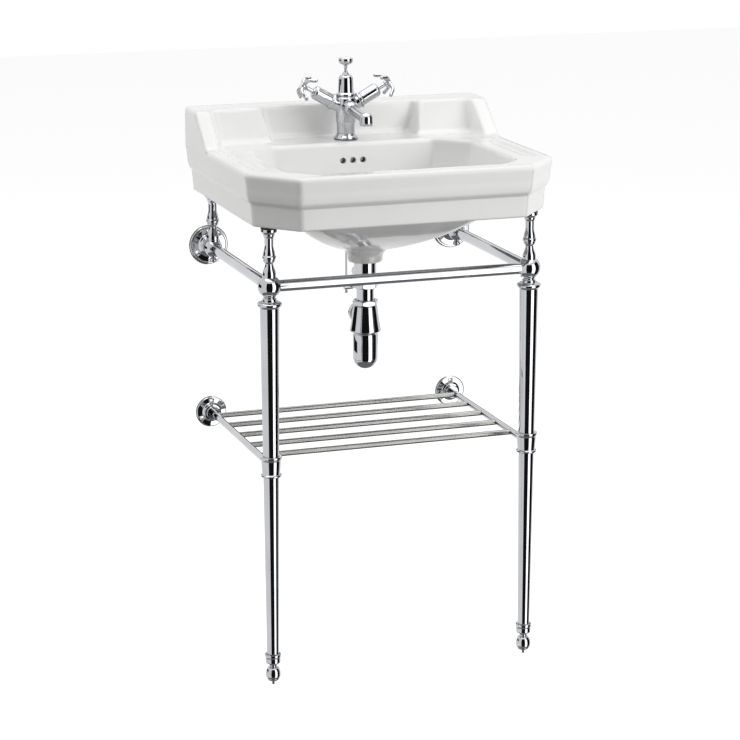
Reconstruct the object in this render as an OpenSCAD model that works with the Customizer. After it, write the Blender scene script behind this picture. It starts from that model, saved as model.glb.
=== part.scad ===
// Console basin on a turned metal washstand, with a single-hole mixer tap,
// a pop-up waste and a bottle trap.
// Millimetres. X runs across the basin, +Y points at the wall, +Z is up.
// The origin is on the floor, midway between the wall and the basin's front.

/* [Basin] */
// Width of the basin across its sides
basin_w = 560; // [520:5:640]
// Depth of the basin from the wall to its front face
basin_d = 470; // [450:5:520]
// Width that each front corner loses to its chamfer
corner_w = 69; // [55:1:85]
// Depth that each front corner loses to its chamfer
corner_d = 81; // [65:1:95]
// Height of the upper band of the apron
band_h = 53; // [45:1:70]
// Height of the lower band of the apron
skirt_h = 40; // [30:1:55]
// How far the lower band stands back under the upper one
band_step = 8; // [4:1:11]
// Draw-in of each band from its top to its foot
band_draft = 3; // [0:0.5:4]
// Thickness of the fired clay in the apron, the deck and the back
clay_t = 13; // [10:1:16]
// Radius over the edge of the deck
rim_r = 8; // [4:1:11]
// Height of the splashback over the deck
splash_h = 61; // [45:1:90]

/* [Bowl] */
// Width of the deck at each side of the bowl
side_deck = 73; // [66:1:90]
// Width of the deck in front of the bowl
front_deck = 38; // [32:1:44]
// Width of the deck behind the bowl
back_deck = 128; // [122:1:140]
// Depth of the bowl under the deck
bowl_h = 170; // [150:2:176]
// Thickness of the bowl's wall
bowl_t = 12; // [9:1:14]
// Distance from the wall to the waste
waste_back = 195; // [185:1:215]

/* [Tap] */
// Distance from the wall to the tap
tap_back = 87; // [82:1:90]
// Reach of the spout from the tap's axis to its outlet
spout_reach = 114; // [95:1:140]
// Climb of each valve arm from the level
arm_rise = 29; // [20:1:40]
// Distance along each arm from the tap's axis to its handle
arm_len = 91; // [84:1:98]
// Reach of each curled prong of a handle
prong_reach = 26; // [20:1:29]
// Diameter of the tap hole in the deck
tap_hole_d = 35; // [33:1:38]
// Lift of the pop-up knob
lift_travel = 14; // [8:1:16]

/* [Waste and trap] */
// Diameter of the threaded waste
waste_d = 40.5; // [38:0.5:42]
// Diameter of the discharge pipe that the trap takes
pipe_d = 32; // [30:0.5:33]
// Diameter of the trap's bottle
bottle_d = 45.2; // [43:0.2:50]
// Greatest diameter of the trap's conical hood
hood_d = 57.6; // [54:0.2:64]

/* [Stand] */
// Distance from each side of the basin in to the leg's axis
leg_inset = 41; // [38:1:50]
// Distance from the basin's front face back to the legs
leg_setback = 82; // [78:1:95]
// Height of the towel rails over the floor
rail_z = 720; // [660:5:760]
// Height of the shelf over the floor
shelf_z = 402; // [300:5:500]
// Diameter of the towel rails
rail_d = 20; // [16:1:22]
// Diameter of the corner balls
ball_d = 40; // [38:1:46]
// Height of the basin supports over the rails
baluster_h = 100; // [85:1:120]
// Diameter of each leg at its top
leg_top_d = 33.5; // [31:0.5:36]
// Diameter of each leg at its foot
leg_foot_d = 21.2; // [18:0.2:23]
// Height of the turned foot under each leg
foot_h = 57; // [50:1:70]
// Travel of the levelling pin into each foot
level_travel = 5; // [3:0.5:6]
// Diameter of the two upper wall flanges
upper_flange_d = 74; // [70:1:84]
// Diameter of the two lower wall flanges
lower_flange_d = 59; // [56:1:66]
// Diameter of the shelf's two side rails
shelf_rail_d = 12; // [10:0.5:14]
// Diameter of the bars across the shelf
shelf_bar_d = 10; // [6:0.5:11]
// Number of bars across the shelf
shelf_bars_n = 5; // [3:1:6]

/* [Hidden] */
$fn = 64;

// Overrun of every cut past the face it opens
over = 1;
// Clearance round the moving rods and spindles
run_gap = 0.2;
// Clearance in each fixed joint between turned pieces
fit_gap = 0.15;
// Wall of the legs and the towel rails
tube_wall = 2;

// Places shared by the basin, the stand and the fittings
back_y = basin_d / 2;
front_y = -basin_d / 2;
leg_x = basin_w / 2 - leg_inset;
leg_gauge = 2 * leg_x;
leg_y = front_y + leg_setback;
tap_y = back_y - tap_back;
waste_y = back_y - waste_back;
// Thickness of the rubber pads under the basin
pad_t = 4;
// Distance from the wall to the rear supports
tee_out = 33;
tee_y = back_y - tee_out;
seat_z = rail_z + baluster_h + pad_t;
band_z = seat_z + skirt_h;
rim_z = band_z + band_h;
splash_z = rim_z + splash_h;
floor_z = rim_z - bowl_h;
ball_r = ball_d / 2;
rail_r = rail_d / 2;
waste_r = waste_d / 2;
pipe_r = pipe_d / 2;

// Vector helpers for outlines in plan
function unit(v) = v / norm(v);
function inward(a, b) = let (d = unit(b - a)) [-d.y, d.x];
function mix(a, b, t) = a + (b - a) * t;

// Moves each edge of an outline inwards by its own distance
function shrunk(pts, ins) = let (n = len(pts)) [
    for (i = [0 : n - 1])
        let (
            a = pts[(i + n - 1) % n], v = pts[i], b = pts[(i + 1) % n],
            m = inward(a, v), k = inward(v, b),
            d = ins[(i + n - 1) % n], e = ins[i],
            det = m.x * k.y - m.y * k.x
        )
        v + [d * k.y - e * m.y, e * m.x - d * k.x] / det
];

// Rounds each corner of an outline over its own cut length
function rounded(pts, cuts, steps) = let (n = len(pts)) [
    for (i = [0 : n - 1])
        let (
            v = pts[i],
            a = unit(pts[(i + n - 1) % n] - v), b = unit(pts[(i + 1) % n] - v)
        )
        for (k = [0 : steps])
            let (s = k / steps)
            v + cuts[i] * (pow(1 - s, 2) * a + pow(s, 2) * b)
];

function at_height(pts, z) = [for (p = pts) [p.x, p.y, z]];

// Closed solid through a stack of rings with equal counts, listed upwards
module skin(rings) {
    n = len(rings[0]);
    last = len(rings) - 1;
    polyhedron(
        points = [for (r = rings) for (p = r) p],
        faces = concat(
            [[for (j = [0 : n - 1]) j]],
            [[for (j = [0 : n - 1]) last * n + n - 1 - j]],
            [for (i = [0 : last - 1], j = [0 : n - 1])
                [i * n + j, (i + 1) * n + j, (i + 1) * n + (j + 1) % n]],
            [for (i = [0 : last - 1], j = [0 : n - 1])
                [i * n + j, (i + 1) * n + (j + 1) % n, i * n + (j + 1) % n]]
        )
    );
}

// Round stretch of a turned outline from a to b. Kind 0 is straight, 1 runs
// along the axis at both ends, 2 leaves a along the axis, 3 meets b along it.
bend_steps = 6;
function bend(a, b, kind) = kind == 0 ? [] : [
    for (i = [1 : bend_steps - 1])
        let (
            t = i / bend_steps,
            u = kind == 1 ? (1 - cos(180 * t)) / 2 : kind == 2 ? 1 - cos(90 * t) : sin(90 * t),
            w = kind == 1 ? t : kind == 2 ? sin(90 * t) : 1 - cos(90 * t)
        )
        [mix(a.x, b.x, u), mix(a.y, b.y, w)]
];

// Outline of a turned piece from rows of radius share, height share and the
// kind of stretch that follows
function turned_line(shares, r, h) = [
    for (i = [0 : len(shares) - 1])
        let (
            a = [shares[i][0] * r, shares[i][1] * h],
            c = shares[min(i + 1, len(shares) - 1)],
            b = [c[0] * r, c[1] * h]
        )
        for (p = concat([a], i < len(shares) - 1 ? bend(a, b, shares[i][2]) : [])) p
];

module turned(shares, r, h) {
    line = turned_line(shares, r, h);
    rotate_extrude()
        polygon(concat([[0, line[0].y]], line, [[0, line[len(line) - 1].y]]));
}

module tube(r, bore, h) {
    difference() {
        cylinder(r = r, h = h);
        translate([0, 0, -over]) cylinder(r = bore, h = h + 2 * over);
    }
}

// Local Z laid towards the wall, or away from it
module to_wall() { rotate([-90, 0, 0]) children(); }
module from_wall() { rotate([90, 0, 0]) children(); }

// Ceramic basin
// Corners of the basin in plan, anticlockwise from the back right
basin_plan = [
    [basin_w / 2, back_y], [-basin_w / 2, back_y],
    [-basin_w / 2, front_y + corner_d], [-basin_w / 2 + corner_w, front_y],
    [basin_w / 2 - corner_w, front_y], [basin_w / 2, front_y + corner_d]
];
// How far each corner's rounding runs along its two edges
back_cut = 5;
front_cut = 7;
basin_cuts = [back_cut, back_cut, front_cut, front_cut, front_cut, front_cut];
corner_steps = 4;
// Height over which the upper band rounds under to the step
step_h = 26;
// Ring of the outline at a height, drawn in by inset and at the wall by back_in
function basin_ring(inset, back_in, z) = at_height(
    rounded(
        shrunk(basin_plan, [back_in, inset, inset, inset, inset, inset]),
        basin_cuts, corner_steps
    ), z
);

skirt_in = band_step + 2 * band_draft;
apron_profile = concat(
    [[skirt_in, seat_z]],
    [for (a = [0 : 22.5 : 90])
        [band_draft + band_step * (1 - sin(a)), band_z + step_h * (1 - cos(a))]],
    [for (a = [0 : 15 : 90]) [rim_r * (1 - cos(a)), rim_z - rim_r * (1 - sin(a))]]
);

module apron_block() {
    skin([for (p = apron_profile) basin_ring(p[0], 0, p[1])]);
}

// Space under the deck, inside the apron and the back
module under_space() {
    skin([
        basin_ring(skirt_in + clay_t, clay_t, seat_z - over),
        basin_ring(skirt_in + clay_t, clay_t, seat_z),
        basin_ring(band_step + band_draft + clay_t, clay_t, band_z),
        basin_ring(band_draft + clay_t, clay_t, band_z + step_h),
        basin_ring(clay_t, clay_t, rim_z - clay_t)
    ]);
}

// Splashback: end wings that slope down to the deck, side panels that lean
// forward, and a centre panel set back between them
wing_t = 26;
wing_top = 70;
wing_foot = 140;
// Draw-in of the wing's inner face from its front to the panel
wing_lean = 14;
panel_top = 54;
panel_foot = 88;
centre_depth = 45;
// Half width of the centre panel at the deck and at the top
centre_foot = 141;
centre_top = 156;
// Run of the slanted return between side and centre panels
return_w = 9;
splash_edge_r = 6;
splash_cut_shares = [1, 1, 1, 1, 2.4, 1.2, 1.4, 1.4, 1.2, 2.4, 1, 1];
splash_cuts = splash_cut_shares * back_cut;

function splash_plan(t) =
    let (
        wing = back_y - mix(wing_foot, wing_top, t),
        panel = back_y - mix(panel_foot, panel_top, t),
        fold = mix(centre_foot, centre_top, t),
        side = basin_w / 2,
        left = [
            [-side, back_y], [-side, wing], [-side + wing_t, wing],
            [-side + wing_t + wing_lean, panel], [-fold, panel],
            [-fold + return_w, back_y - centre_depth]
        ]
    )
    concat(
        [[side, back_y]], left,
        [for (i = [5 : -1 : 1]) [-left[i].x, left[i].y]]
    );

function splash_ring(t, inset, grow, z) = at_height(
    rounded(
        shrunk(splash_plan(t),
            [0, inset, inset - grow, inset - grow, inset - grow, inset - grow,
             inset - grow, inset - grow, inset - grow, inset - grow, inset - grow, inset]),
        splash_cuts, corner_steps
    ), z
);

// Cove that joins the splashback to the deck
cove_r = 9;
module splashback() {
    foot = rim_z - rim_r - over;
    skin(concat(
        [splash_ring(0, 0, 0, foot)],
        [for (a = [0 : 30 : 90])
            let (z = rim_z + cove_r * (1 - cos(a)))
            splash_ring((z - rim_z) / splash_h, 0, cove_r * (1 - sin(a)), z)],
        [for (a = [0 : 22.5 : 90])
            let (z = splash_z - splash_edge_r * (1 - sin(a)))
            splash_ring((z - rim_z) / splash_h, splash_edge_r * (1 - cos(a)), 0, z)]
    ));
}

// Bowl opening in plan, anticlockwise from the back right corner cut
bowl_front = front_y + front_deck;
bowl_back = back_y - back_deck;
bowl_w = basin_w - 2 * side_deck;
bowl_cut_back = 52;
bowl_cut_front = 38;
bowl_corner = 16;
bowl_plan = [
    [bowl_w / 2 - bowl_cut_back, bowl_back], [-bowl_w / 2 + bowl_cut_back, bowl_back],
    [-bowl_w / 2, bowl_back - bowl_cut_back], [-bowl_w / 2, bowl_front + bowl_cut_front],
    [-bowl_w / 2 + bowl_cut_front, bowl_front], [bowl_w / 2 - bowl_cut_front, bowl_front],
    [bowl_w / 2, bowl_front + bowl_cut_front], [bowl_w / 2, bowl_back - bowl_cut_back]
];
bowl_cuts = [for (i = [0 : 7]) bowl_corner];
// Radius of the flat round the waste, and of the rounded lip of the bowl
waste_flat_r = 38;
lip_r = 7;
// Sweep of the arc from the rim to the waste, which leaves the floor sloping
bowl_sweep = 55;

// Ring of the bowl, drawn in from the opening to a circle round the waste
function bowl_ring(grow, flat, t, z) =
    let (
        opening = rounded(shrunk(bowl_plan, [for (i = [0 : 7]) -grow]), bowl_cuts, corner_steps),
        middle = [0, (bowl_front + bowl_back) / 2],
        hub = [0, waste_y]
    )
    at_height([for (p = opening) mix(p, hub + flat * unit(p - middle), t)], z);

module bowl_form(grow, flat, depth) {
    skin(concat(
        [for (a = [bowl_sweep : -bowl_sweep / 8 : 0])
            bowl_ring(grow, flat, (1 - cos(a)) / (1 - cos(bowl_sweep)),
                rim_z - lip_r - (depth - lip_r) * sin(a) / sin(bowl_sweep))],
        [bowl_ring(grow, flat, 0, rim_z - lip_r + over)]
    ));
}

module bowl_cavity() {
    bowl_form(0, waste_flat_r, bowl_h);
    skin(concat(
        [for (a = [0 : 22.5 : 90])
            bowl_ring(lip_r * (1 - cos(a)), waste_flat_r, 0, rim_z - lip_r * (1 - sin(a)))],
        [bowl_ring(lip_r, waste_flat_r, 0, rim_z + over)]
    ));
}

// Outlet boss under the bowl, with the recess that hides the waste nut
boss_top_r = 40;
boss_r = 31.5;
boss_h = 36;
boss_bore = 23;
nut_recess_r = 28;
nut_recess_h = 8;
boss_z = floor_z - boss_h;
flange_recess_r = 33;
flange_recess_h = 4.5;
boss_shares = [[0.72, 0, 3], [0.79, 0.06, 0], [0.8, 0.3, 1], [1, 0.72, 0], [1, 1, 0]];

// Overflow: three holes in the back of the bowl open into a passage that
// runs down behind it to the outlet boss
overflow_d = 10;
overflow_pitch = 19;
overflow_drop = 33;
duct_w = 70;
duct_t = 14;
duct_skin = 5;

// One passage made of four joined lengths; grow is added on every side, and
// the grown one is also filled on the side that faces the bowl
module overflow_duct(grow) {
    // Rows of half width, distance behind the bowl's back edge and drop
    stops = [
        [duct_w / 2, duct_t / 2, overflow_drop - overflow_d],
        [duct_w / 2, duct_t / 2, overflow_drop + 2 * overflow_d],
        [duct_w / 2, duct_t / 4, bowl_h * 3 / 5],
        [duct_w / 4, -duct_t * 2 / 3, bowl_h],
        [duct_w / 6, waste_y + boss_bore - bowl_back, bowl_h + boss_h / 2]
    ];
    joints = [for (i = [0 : 3]) [i, i + 1]];
    for (span = grow > 0 ? concat(joints, [[2, 4]]) : joints)
        hull()
            for (s = [stops[span[0]], stops[span[1]]])
                translate([0, bowl_back + s[1], rim_z - s[2]])
                    cube([2 * (s[0] + grow), duct_t / 2 + 2 * grow, duct_t / 2 + 2 * grow], center = true);
}

// Shallow soap recess in the deck at each side of the bowl
soap_w = 28;
soap_l = 216;
soap_drop = 4;
soap_front = 95;
module soap_recess(side) {
    middle = (bowl_w / 2 + lip_r + basin_w / 2) / 2;
    hull()
        for (y = [front_y + soap_front + soap_w / 2, front_y + soap_front + soap_l - soap_w / 2])
            translate([side * middle, y, rim_z - soap_drop])
                cylinder(r1 = soap_w / 2 - soap_drop, r2 = soap_w / 2 + over, h = soap_drop + over, $fn = 32);
}

// Solid seats over the rubber pads, each run out to the apron's side
seat_r = 19;
seat_h = 26;
module seat_boss(side, y) {
    hull()
        for (x = [leg_x, basin_w / 2 - skirt_in])
            translate([side * x, y, seat_z]) {
                cylinder(r = seat_r, h = seat_h / 2, $fn = 32);
                cylinder(r = seat_r / 2, h = seat_h, $fn = 32);
            }
}

module basin() {
    color("white")
        difference() {
            union() {
                difference() {
                    apron_block();
                    under_space();
                }
                intersection() {
                    apron_block();
                    for (side = [-1, 1], y = [leg_y, tee_y]) seat_boss(side, y);
                }
                splashback();
                difference() {
                    bowl_form(bowl_t, waste_flat_r + bowl_t / 3, bowl_h + bowl_t);
                    translate([-basin_w / 2, front_y, rim_z - rim_r]) cube([basin_w, basin_d, splash_h]);
                }
                overflow_duct(duct_skin);
                translate([0, waste_y, boss_z]) turned(boss_shares, boss_top_r, boss_h, $fn = 32);
            }
            bowl_cavity();
            overflow_duct(0);
            for (i = [-1 : 1])
                translate([i * overflow_pitch, bowl_back - clay_t, rim_z - overflow_drop])
                    to_wall() cylinder(d = overflow_d, h = clay_t + duct_t / 2, $fn = 24);
            for (side = [-1, 1]) soap_recess(side);
            translate([0, tap_y, rim_z - 2 * clay_t]) cylinder(d = tap_hole_d, h = 3 * clay_t);
            translate([0, waste_y, boss_z - over]) cylinder(r = boss_bore, h = boss_h + 2 * clay_t);
            translate([0, waste_y, boss_z - over]) cylinder(r = nut_recess_r, h = nut_recess_h + over);
            translate([0, waste_y, floor_z - flange_recess_h])
                cylinder(r = flange_recess_r, h = flange_recess_h + over);
        }
}

// Turned metalwork of the stand
// Height over the rail's axis at which the ball and the tee are cut flat
ball_flat = 16;
// Depth of the spigots that join the turned pieces, and their radius
spigot_h = 8;
spigot_r = 4;
// Distance from the ball's centre to the bottom of each rail socket
socket_in = 11;

// Baluster that carries the basin, from the flat of a ball to the pad
baluster_r = 14;
baluster_shares = [
    [0.84, 0, 0], [0.84, 0.06, 1], [0.5, 0.28, 1], [0.7, 0.34, 0], [0.7, 0.37, 0],
    [0.84, 0.395, 0], [0.84, 0.435, 0], [0.74, 0.47, 1], [0.54, 0.66, 0],
    [0.56, 0.8, 1], [0.74, 0.9, 0], [1, 0.93, 0], [1, 1, 0]
];
module baluster(x, y) {
    color("silver")
        translate([x, y, rail_z + ball_flat]) {
            turned(baluster_shares, baluster_r, baluster_h - ball_flat);
            translate([0, 0, -spigot_h]) cylinder(r = spigot_r, h = spigot_h);
        }
}

// Rubber pads between the balusters and the basin
module basin_pads() {
    color("dimgray")
        for (side = [-1, 1], y = [leg_y, tee_y])
            translate([side * leg_x, y, seat_z - pad_t]) cylinder(r = baluster_r, h = pad_t);
}

// Corner ball with its neck and ring, socketed for the rails
ring_drop = 37;
leg_spigot_r = 8;
leg_spigot_h = 14;
ring_shares = [
    [0.85, 0, 0], [0.92, 0.05, 0], [0.92, 0.09, 1], [1.06, 0.16, 1], [0.95, 0.26, 0],
    [0.62, 0.3, 2], [0.5, 0.44, 1], [0.62, 0.62, 0]
];
module corner_ball(side) {
    color("silver")
        translate([side * leg_x, leg_y, rail_z])
            difference() {
                union() {
                    intersection() {
                        sphere(r = ball_r);
                        translate([-ball_d, -ball_d, -ball_d])
                            cube([2 * ball_d, 2 * ball_d, ball_d + ball_flat]);
                    }
                    translate([0, 0, -ring_drop]) turned(ring_shares, ball_r, ring_drop);
                    translate([0, 0, -ring_drop - leg_spigot_h])
                        cylinder(r = leg_spigot_r, h = leg_spigot_h + over);
                }
                translate([0, 0, ball_flat - spigot_h - fit_gap])
                    cylinder(r = spigot_r + fit_gap, h = spigot_h + over);
                translate([-side * socket_in, 0, 0]) rotate([0, -side * 90, 0])
                    cylinder(r = rail_r + fit_gap, h = ball_r);
                translate([0, socket_in, 0]) to_wall() cylinder(r = rail_r + fit_gap, h = ball_r);
            }
}

module front_rail() {
    span = 2 * (leg_x - socket_in - fit_gap);
    color("silver")
        translate([-span / 2, leg_y, rail_z]) rotate([0, 90, 0]) tube(rail_r, rail_r - tube_wall, span);
}

// Tee that carries a side rail at the wall, with its rear baluster above
// and a turned finial below
tee_r = 17;
tee_in = 10.5;
tee_flat = 12;
boss_spigot_r = 6;
boss_spigot_h = 5;
finial_h = 20;
finial_shares = [
    [0.1, 0, 3], [0.42, 0.2, 2], [0.2, 0.42, 1], [0.45, 0.56, 0], [0.45, 0.7, 1], [0.3, 1, 0]
];
module tee(side) {
    color("silver")
        translate([side * leg_x, tee_y, rail_z])
            difference() {
                union() {
                    intersection() {
                        sphere(r = tee_r);
                        translate([-tee_r, -tee_r, -tee_r])
                            cube([2 * tee_r, tee_r + tee_flat, tee_r + ball_flat]);
                    }
                    translate([0, 0, -tee_r - finial_h / 2]) turned(finial_shares, tee_r, finial_h);
                    cylinder(r = baluster_shares[0][0] * baluster_r, h = ball_flat);
                }
                translate([0, 0, ball_flat - spigot_h - fit_gap])
                    cylinder(r = spigot_r + fit_gap, h = spigot_h + over);
                translate([0, -tee_in, 0]) from_wall() cylinder(r = rail_r + fit_gap, h = tee_r);
                translate([0, tee_flat - boss_spigot_h - fit_gap, 0])
                    to_wall() cylinder(r = boss_spigot_r + fit_gap, h = boss_spigot_h + over);
            }
}

module side_rail(side) {
    start = leg_y + socket_in + fit_gap;
    color("silver")
        translate([side * leg_x, start, rail_z])
            to_wall() tube(rail_r, rail_r - tube_wall, tee_y - tee_in - fit_gap - start);
}

// Wall flanges, turned about an axis square to the wall, with three screws
flange_screw_r = 2.75;
screw_ring_share = 0.7;
screws_n = 3;
module wall_flange(x, z, r, h, shares) {
    translate([x, back_y, z]) from_wall()
        difference() {
            turned(shares, r, h);
            for (i = [0 : screws_n - 1])
                rotate([0, 0, 360 * i / screws_n + 90])
                    translate([screw_ring_share * r, 0, -over])
                        cylinder(r = flange_screw_r, h = h + 2 * over);
        }
}

upper_flange_shares = [
    [1, 0, 0], [1, 0.16, 3], [0.9, 0.26, 0], [0.86, 0.26, 0], [0.84, 0.34, 0], [0.56, 0.38, 1],
    [0.44, 0.6, 0], [0.44, 0.68, 0], [0.4, 0.72, 0], [0.4, 0.8, 0], [0.32, 0.82, 0], [0.32, 1, 0]
];
module upper_flange(side) {
    reach = tee_out - tee_flat;
    color("silver") {
        wall_flange(side * leg_x, rail_z, upper_flange_d / 2, reach, upper_flange_shares);
        translate([side * leg_x, back_y - reach, rail_z])
            from_wall() cylinder(r = boss_spigot_r, h = boss_spigot_h);
    }
}

// Depth of the lower flanges, and how far the shelf's side rails enter them
lower_flange_h = 18;
shelf_rail_in = 10;
lower_flange_shares = [
    [1, 0, 0], [1, 0.18, 3], [0.88, 0.3, 0], [0.6, 0.36, 1], [0.46, 0.62, 0],
    [0.52, 0.66, 0], [0.52, 0.8, 0], [0.4, 0.86, 0], [0.4, 1, 0]
];
shelf_rail_r = shelf_rail_d / 2;
module lower_flange(side) {
    color("silver")
        difference() {
            wall_flange(side * leg_x, shelf_z, lower_flange_d / 2, lower_flange_h, lower_flange_shares);
            translate([side * leg_x, back_y - lower_flange_h + shelf_rail_in, shelf_z])
                from_wall() cylinder(r = shelf_rail_r + fit_gap, h = shelf_rail_in + over);
        }
}

// Shelf: side rails from the wall to a collar on each leg, and bars across
collar_h = 36;
collar_lug = 23;
collar_lug_r = 8.5;
leg_z = rail_z - ring_drop;
function leg_r_at(z) = mix(leg_foot_d, leg_top_d, (z - foot_h) / (leg_z - foot_h)) / 2;
collar_r = leg_top_d / 2 + 2 * fit_gap;
collar_shares = [
    [1.06, 0, 0], [1.06, 0.07, 1], [0.92, 0.14, 0], [1.02, 0.8, 1], [1.12, 0.9, 0], [1.12, 1, 0]
];
module shelf_collar(side) {
    low = shelf_z - collar_h / 2;
    color("silver")
        translate([side * leg_x, leg_y, 0])
            difference() {
                union() {
                    translate([0, 0, low]) turned(collar_shares, collar_r, collar_h);
                    translate([0, 0, shelf_z]) to_wall() cylinder(r = collar_lug_r, h = collar_lug);
                }
                translate([0, 0, low - over])
                    cylinder(
                        r1 = leg_r_at(low - over) + fit_gap,
                        r2 = leg_r_at(low + collar_h + over) + fit_gap,
                        h = collar_h + 2 * over
                    );
                translate([0, collar_r, shelf_z])
                    to_wall() cylinder(r = shelf_rail_r + fit_gap, h = collar_lug);
            }
}

shelf_front = leg_y + collar_r + fit_gap;
shelf_back = back_y - lower_flange_h + shelf_rail_in - fit_gap;
// Distance from the wall to the first bar, and from the collar's lug to the last
bar_back = 37;
bar_front = 46;
bar_pin_r = 2.5;
shelf_bar_r = shelf_bar_d / 2;
function bar_y(i) = mix(back_y - bar_back, leg_y + collar_lug + bar_front, i / (shelf_bars_n - 1));

module shelf_rail(side) {
    color("silver")
        difference() {
            translate([side * leg_x, shelf_front, shelf_z])
                to_wall() cylinder(r = shelf_rail_r, h = shelf_back - shelf_front);
            for (i = [0 : shelf_bars_n - 1])
                translate([side * leg_x, bar_y(i), shelf_z]) rotate([0, -side * 90, 0])
                    cylinder(r = bar_pin_r + fit_gap, h = shelf_rail_d);
        }
}

module shelf_bars() {
    color("silver")
        for (i = [0 : shelf_bars_n - 1])
            translate([0, bar_y(i), shelf_z]) {
                difference() {
                    translate([-leg_x, 0, 0]) rotate([0, 90, 0]) cylinder(r = shelf_bar_r, h = leg_gauge);
                    for (side = [-1, 1])
                        translate([side * leg_x, -shelf_rail_d, 0])
                            to_wall() cylinder(r = shelf_rail_r + fit_gap, h = 2 * shelf_rail_d);
                }
                for (side = [-1, 1])
                    translate([side * (leg_x - fit_gap), 0, 0]) rotate([0, -side * 90, 0])
                        cylinder(r = bar_pin_r, h = shelf_rail_d);
            }
}

// Tapered leg, bored at its top for the ball's spigot and at its foot
foot_spigot_r = 6;
foot_spigot_h = 12;
module leg(side) {
    color("silver")
        translate([side * leg_x, leg_y, foot_h])
            difference() {
                cylinder(r1 = leg_foot_d / 2, r2 = leg_top_d / 2, h = leg_z - foot_h);
                translate([0, 0, leg_z - foot_h - leg_spigot_h - fit_gap])
                    cylinder(r = leg_spigot_r + fit_gap, h = leg_spigot_h + fit_gap + over);
                translate([0, 0, -over])
                    cylinder(r = foot_spigot_r + fit_gap, h = foot_spigot_h + fit_gap + over);
                translate([0, 0, foot_spigot_h + 2 * tube_wall])
                    cylinder(
                        r1 = leg_foot_d / 2 - tube_wall, r2 = leg_top_d / 2 - tube_wall,
                        h = leg_z - foot_h - leg_spigot_h - foot_spigot_h - 4 * tube_wall
                    );
            }
}

// Turned foot with a screwed pin that levels the stand
pin_r = 2.2;
pin_out = 6;
pin_in = 12;
foot_rim_r = 14.5;
foot_shares = [
    [0.28, 0, 3], [0.91, 0.25, 2], [0.44, 0.56, 1], [0.91, 0.74, 0], [0.91, 0.95, 0], [1, 0.965, 0], [1, 1, 0]
];
module foot(side) {
    color("silver")
        translate([side * leg_x, leg_y, pin_out])
            difference() {
                union() {
                    turned(foot_shares, foot_rim_r, foot_h - pin_out);
                    translate([0, 0, foot_h - pin_out]) cylinder(r = foot_spigot_r, h = foot_spigot_h);
                }
                translate([0, 0, -over])
                    cylinder(r = pin_r + run_gap, h = pin_in + level_travel + over + run_gap);
            }
}

module level_pin(side) {
    color("dimgray")
        translate([side * leg_x, leg_y, 0]) cylinder(r = pin_r, h = pin_out + pin_in);
}

// Tap: heights over the deck
gasket_t = 1.5;
gasket_r = 21.5;
skirt_top_z = 11;
tail_r = 14.4;
skirt_shares = [[1, 0, 0], [1, 0.1, 1], [0.8, 0.8, 0], [0.78, 1, 0]];
skirt_r = 21;
arm_z = 55;
arm_root_r = 13;
arm_root = 28;
body_r = 18;
body_top_z = 79;
rod_r = 2;
inlet_r = 5;
inlet_depth = 12;
inlet_in = 8.6;
stud_r = 3;
stud_in = 10.5;
stud_h = 42;
// The body's tail stops this far above the underside of the deck
tail_lift = 1;
tail_z = rim_z - clay_t + tail_lift;
tail_h = rim_z + skirt_top_z - tail_z;

module tap_gasket() {
    color("dimgray")
        translate([0, tap_y, rim_z]) tube(gasket_r, tail_r + fit_gap, gasket_t);
}

module tap_base() {
    h = skirt_top_z - gasket_t;
    color("silver")
        translate([0, tap_y, rim_z + gasket_t])
            difference() {
                turned(skirt_shares, skirt_r, h);
                translate([0, 0, -over]) cylinder(r = tail_r + fit_gap, h = h + 2 * over);
            }
}

// Local Z along one of the tap's two raised arms, from the tap's axis
module along_arm(side) {
    translate([0, tap_y, rim_z + arm_z]) rotate([0, side * (90 - arm_rise), 0]) children();
}

// Spout: where it leaves the body, its fall and its outlet
spout_root_r = 13;
spout_r = 8.6;
spout_root = 36;
spout_z = 62;
spout_fall = 6;
outlet_r = 12;
outlet_z = 40;
// Rise of the outlet's domed cap over the spout
outlet_cap = 5;
body_shares = [
    [0.9, 0, 1], [1, 0.3, 0], [1.01, 0.66, 1], [1.06, 0.8, 2], [0.86, 0.98, 0], [0.86, 1, 0]
];
module tap_body() {
    h = body_top_z - skirt_top_z;
    color("silver")
        difference() {
            union() {
                translate([0, tap_y, rim_z + skirt_top_z]) turned(body_shares, body_r, h);
                translate([0, tap_y, tail_z]) cylinder(r = tail_r, h = tail_h + over);
                for (side = [-1, 1]) along_arm(side) cylinder(r = arm_root_r, h = arm_root);
            }
            translate([0, tap_y, tail_z - over])
                cylinder(r = rod_r + run_gap, h = tail_h + h + 2 * over);
            for (side = [-1, 1]) {
                along_arm(side)
                    translate([0, 0, arm_root - cartridge_h - fit_gap])
                        cylinder(r = cartridge_r + fit_gap, h = cartridge_h + fit_gap + over);
                translate([side * inlet_in, tap_y, tail_z - over])
                    cylinder(r = inlet_r, h = inlet_depth + over);
            }
            translate([0, tap_y - stud_in, tail_z - over])
                cylinder(r = stud_r + fit_gap, h = inlet_depth + over);
            translate([0, tap_y, rim_z + spout_z]) along_spout()
                translate([0, 0, body_r - spigot_h]) cylinder(r = spout_r + fit_gap, h = spout_root);
        }
}

// Local Z along the falling spout
module along_spout() { rotate([90 + spout_fall, 0, 0]) children(); }

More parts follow.
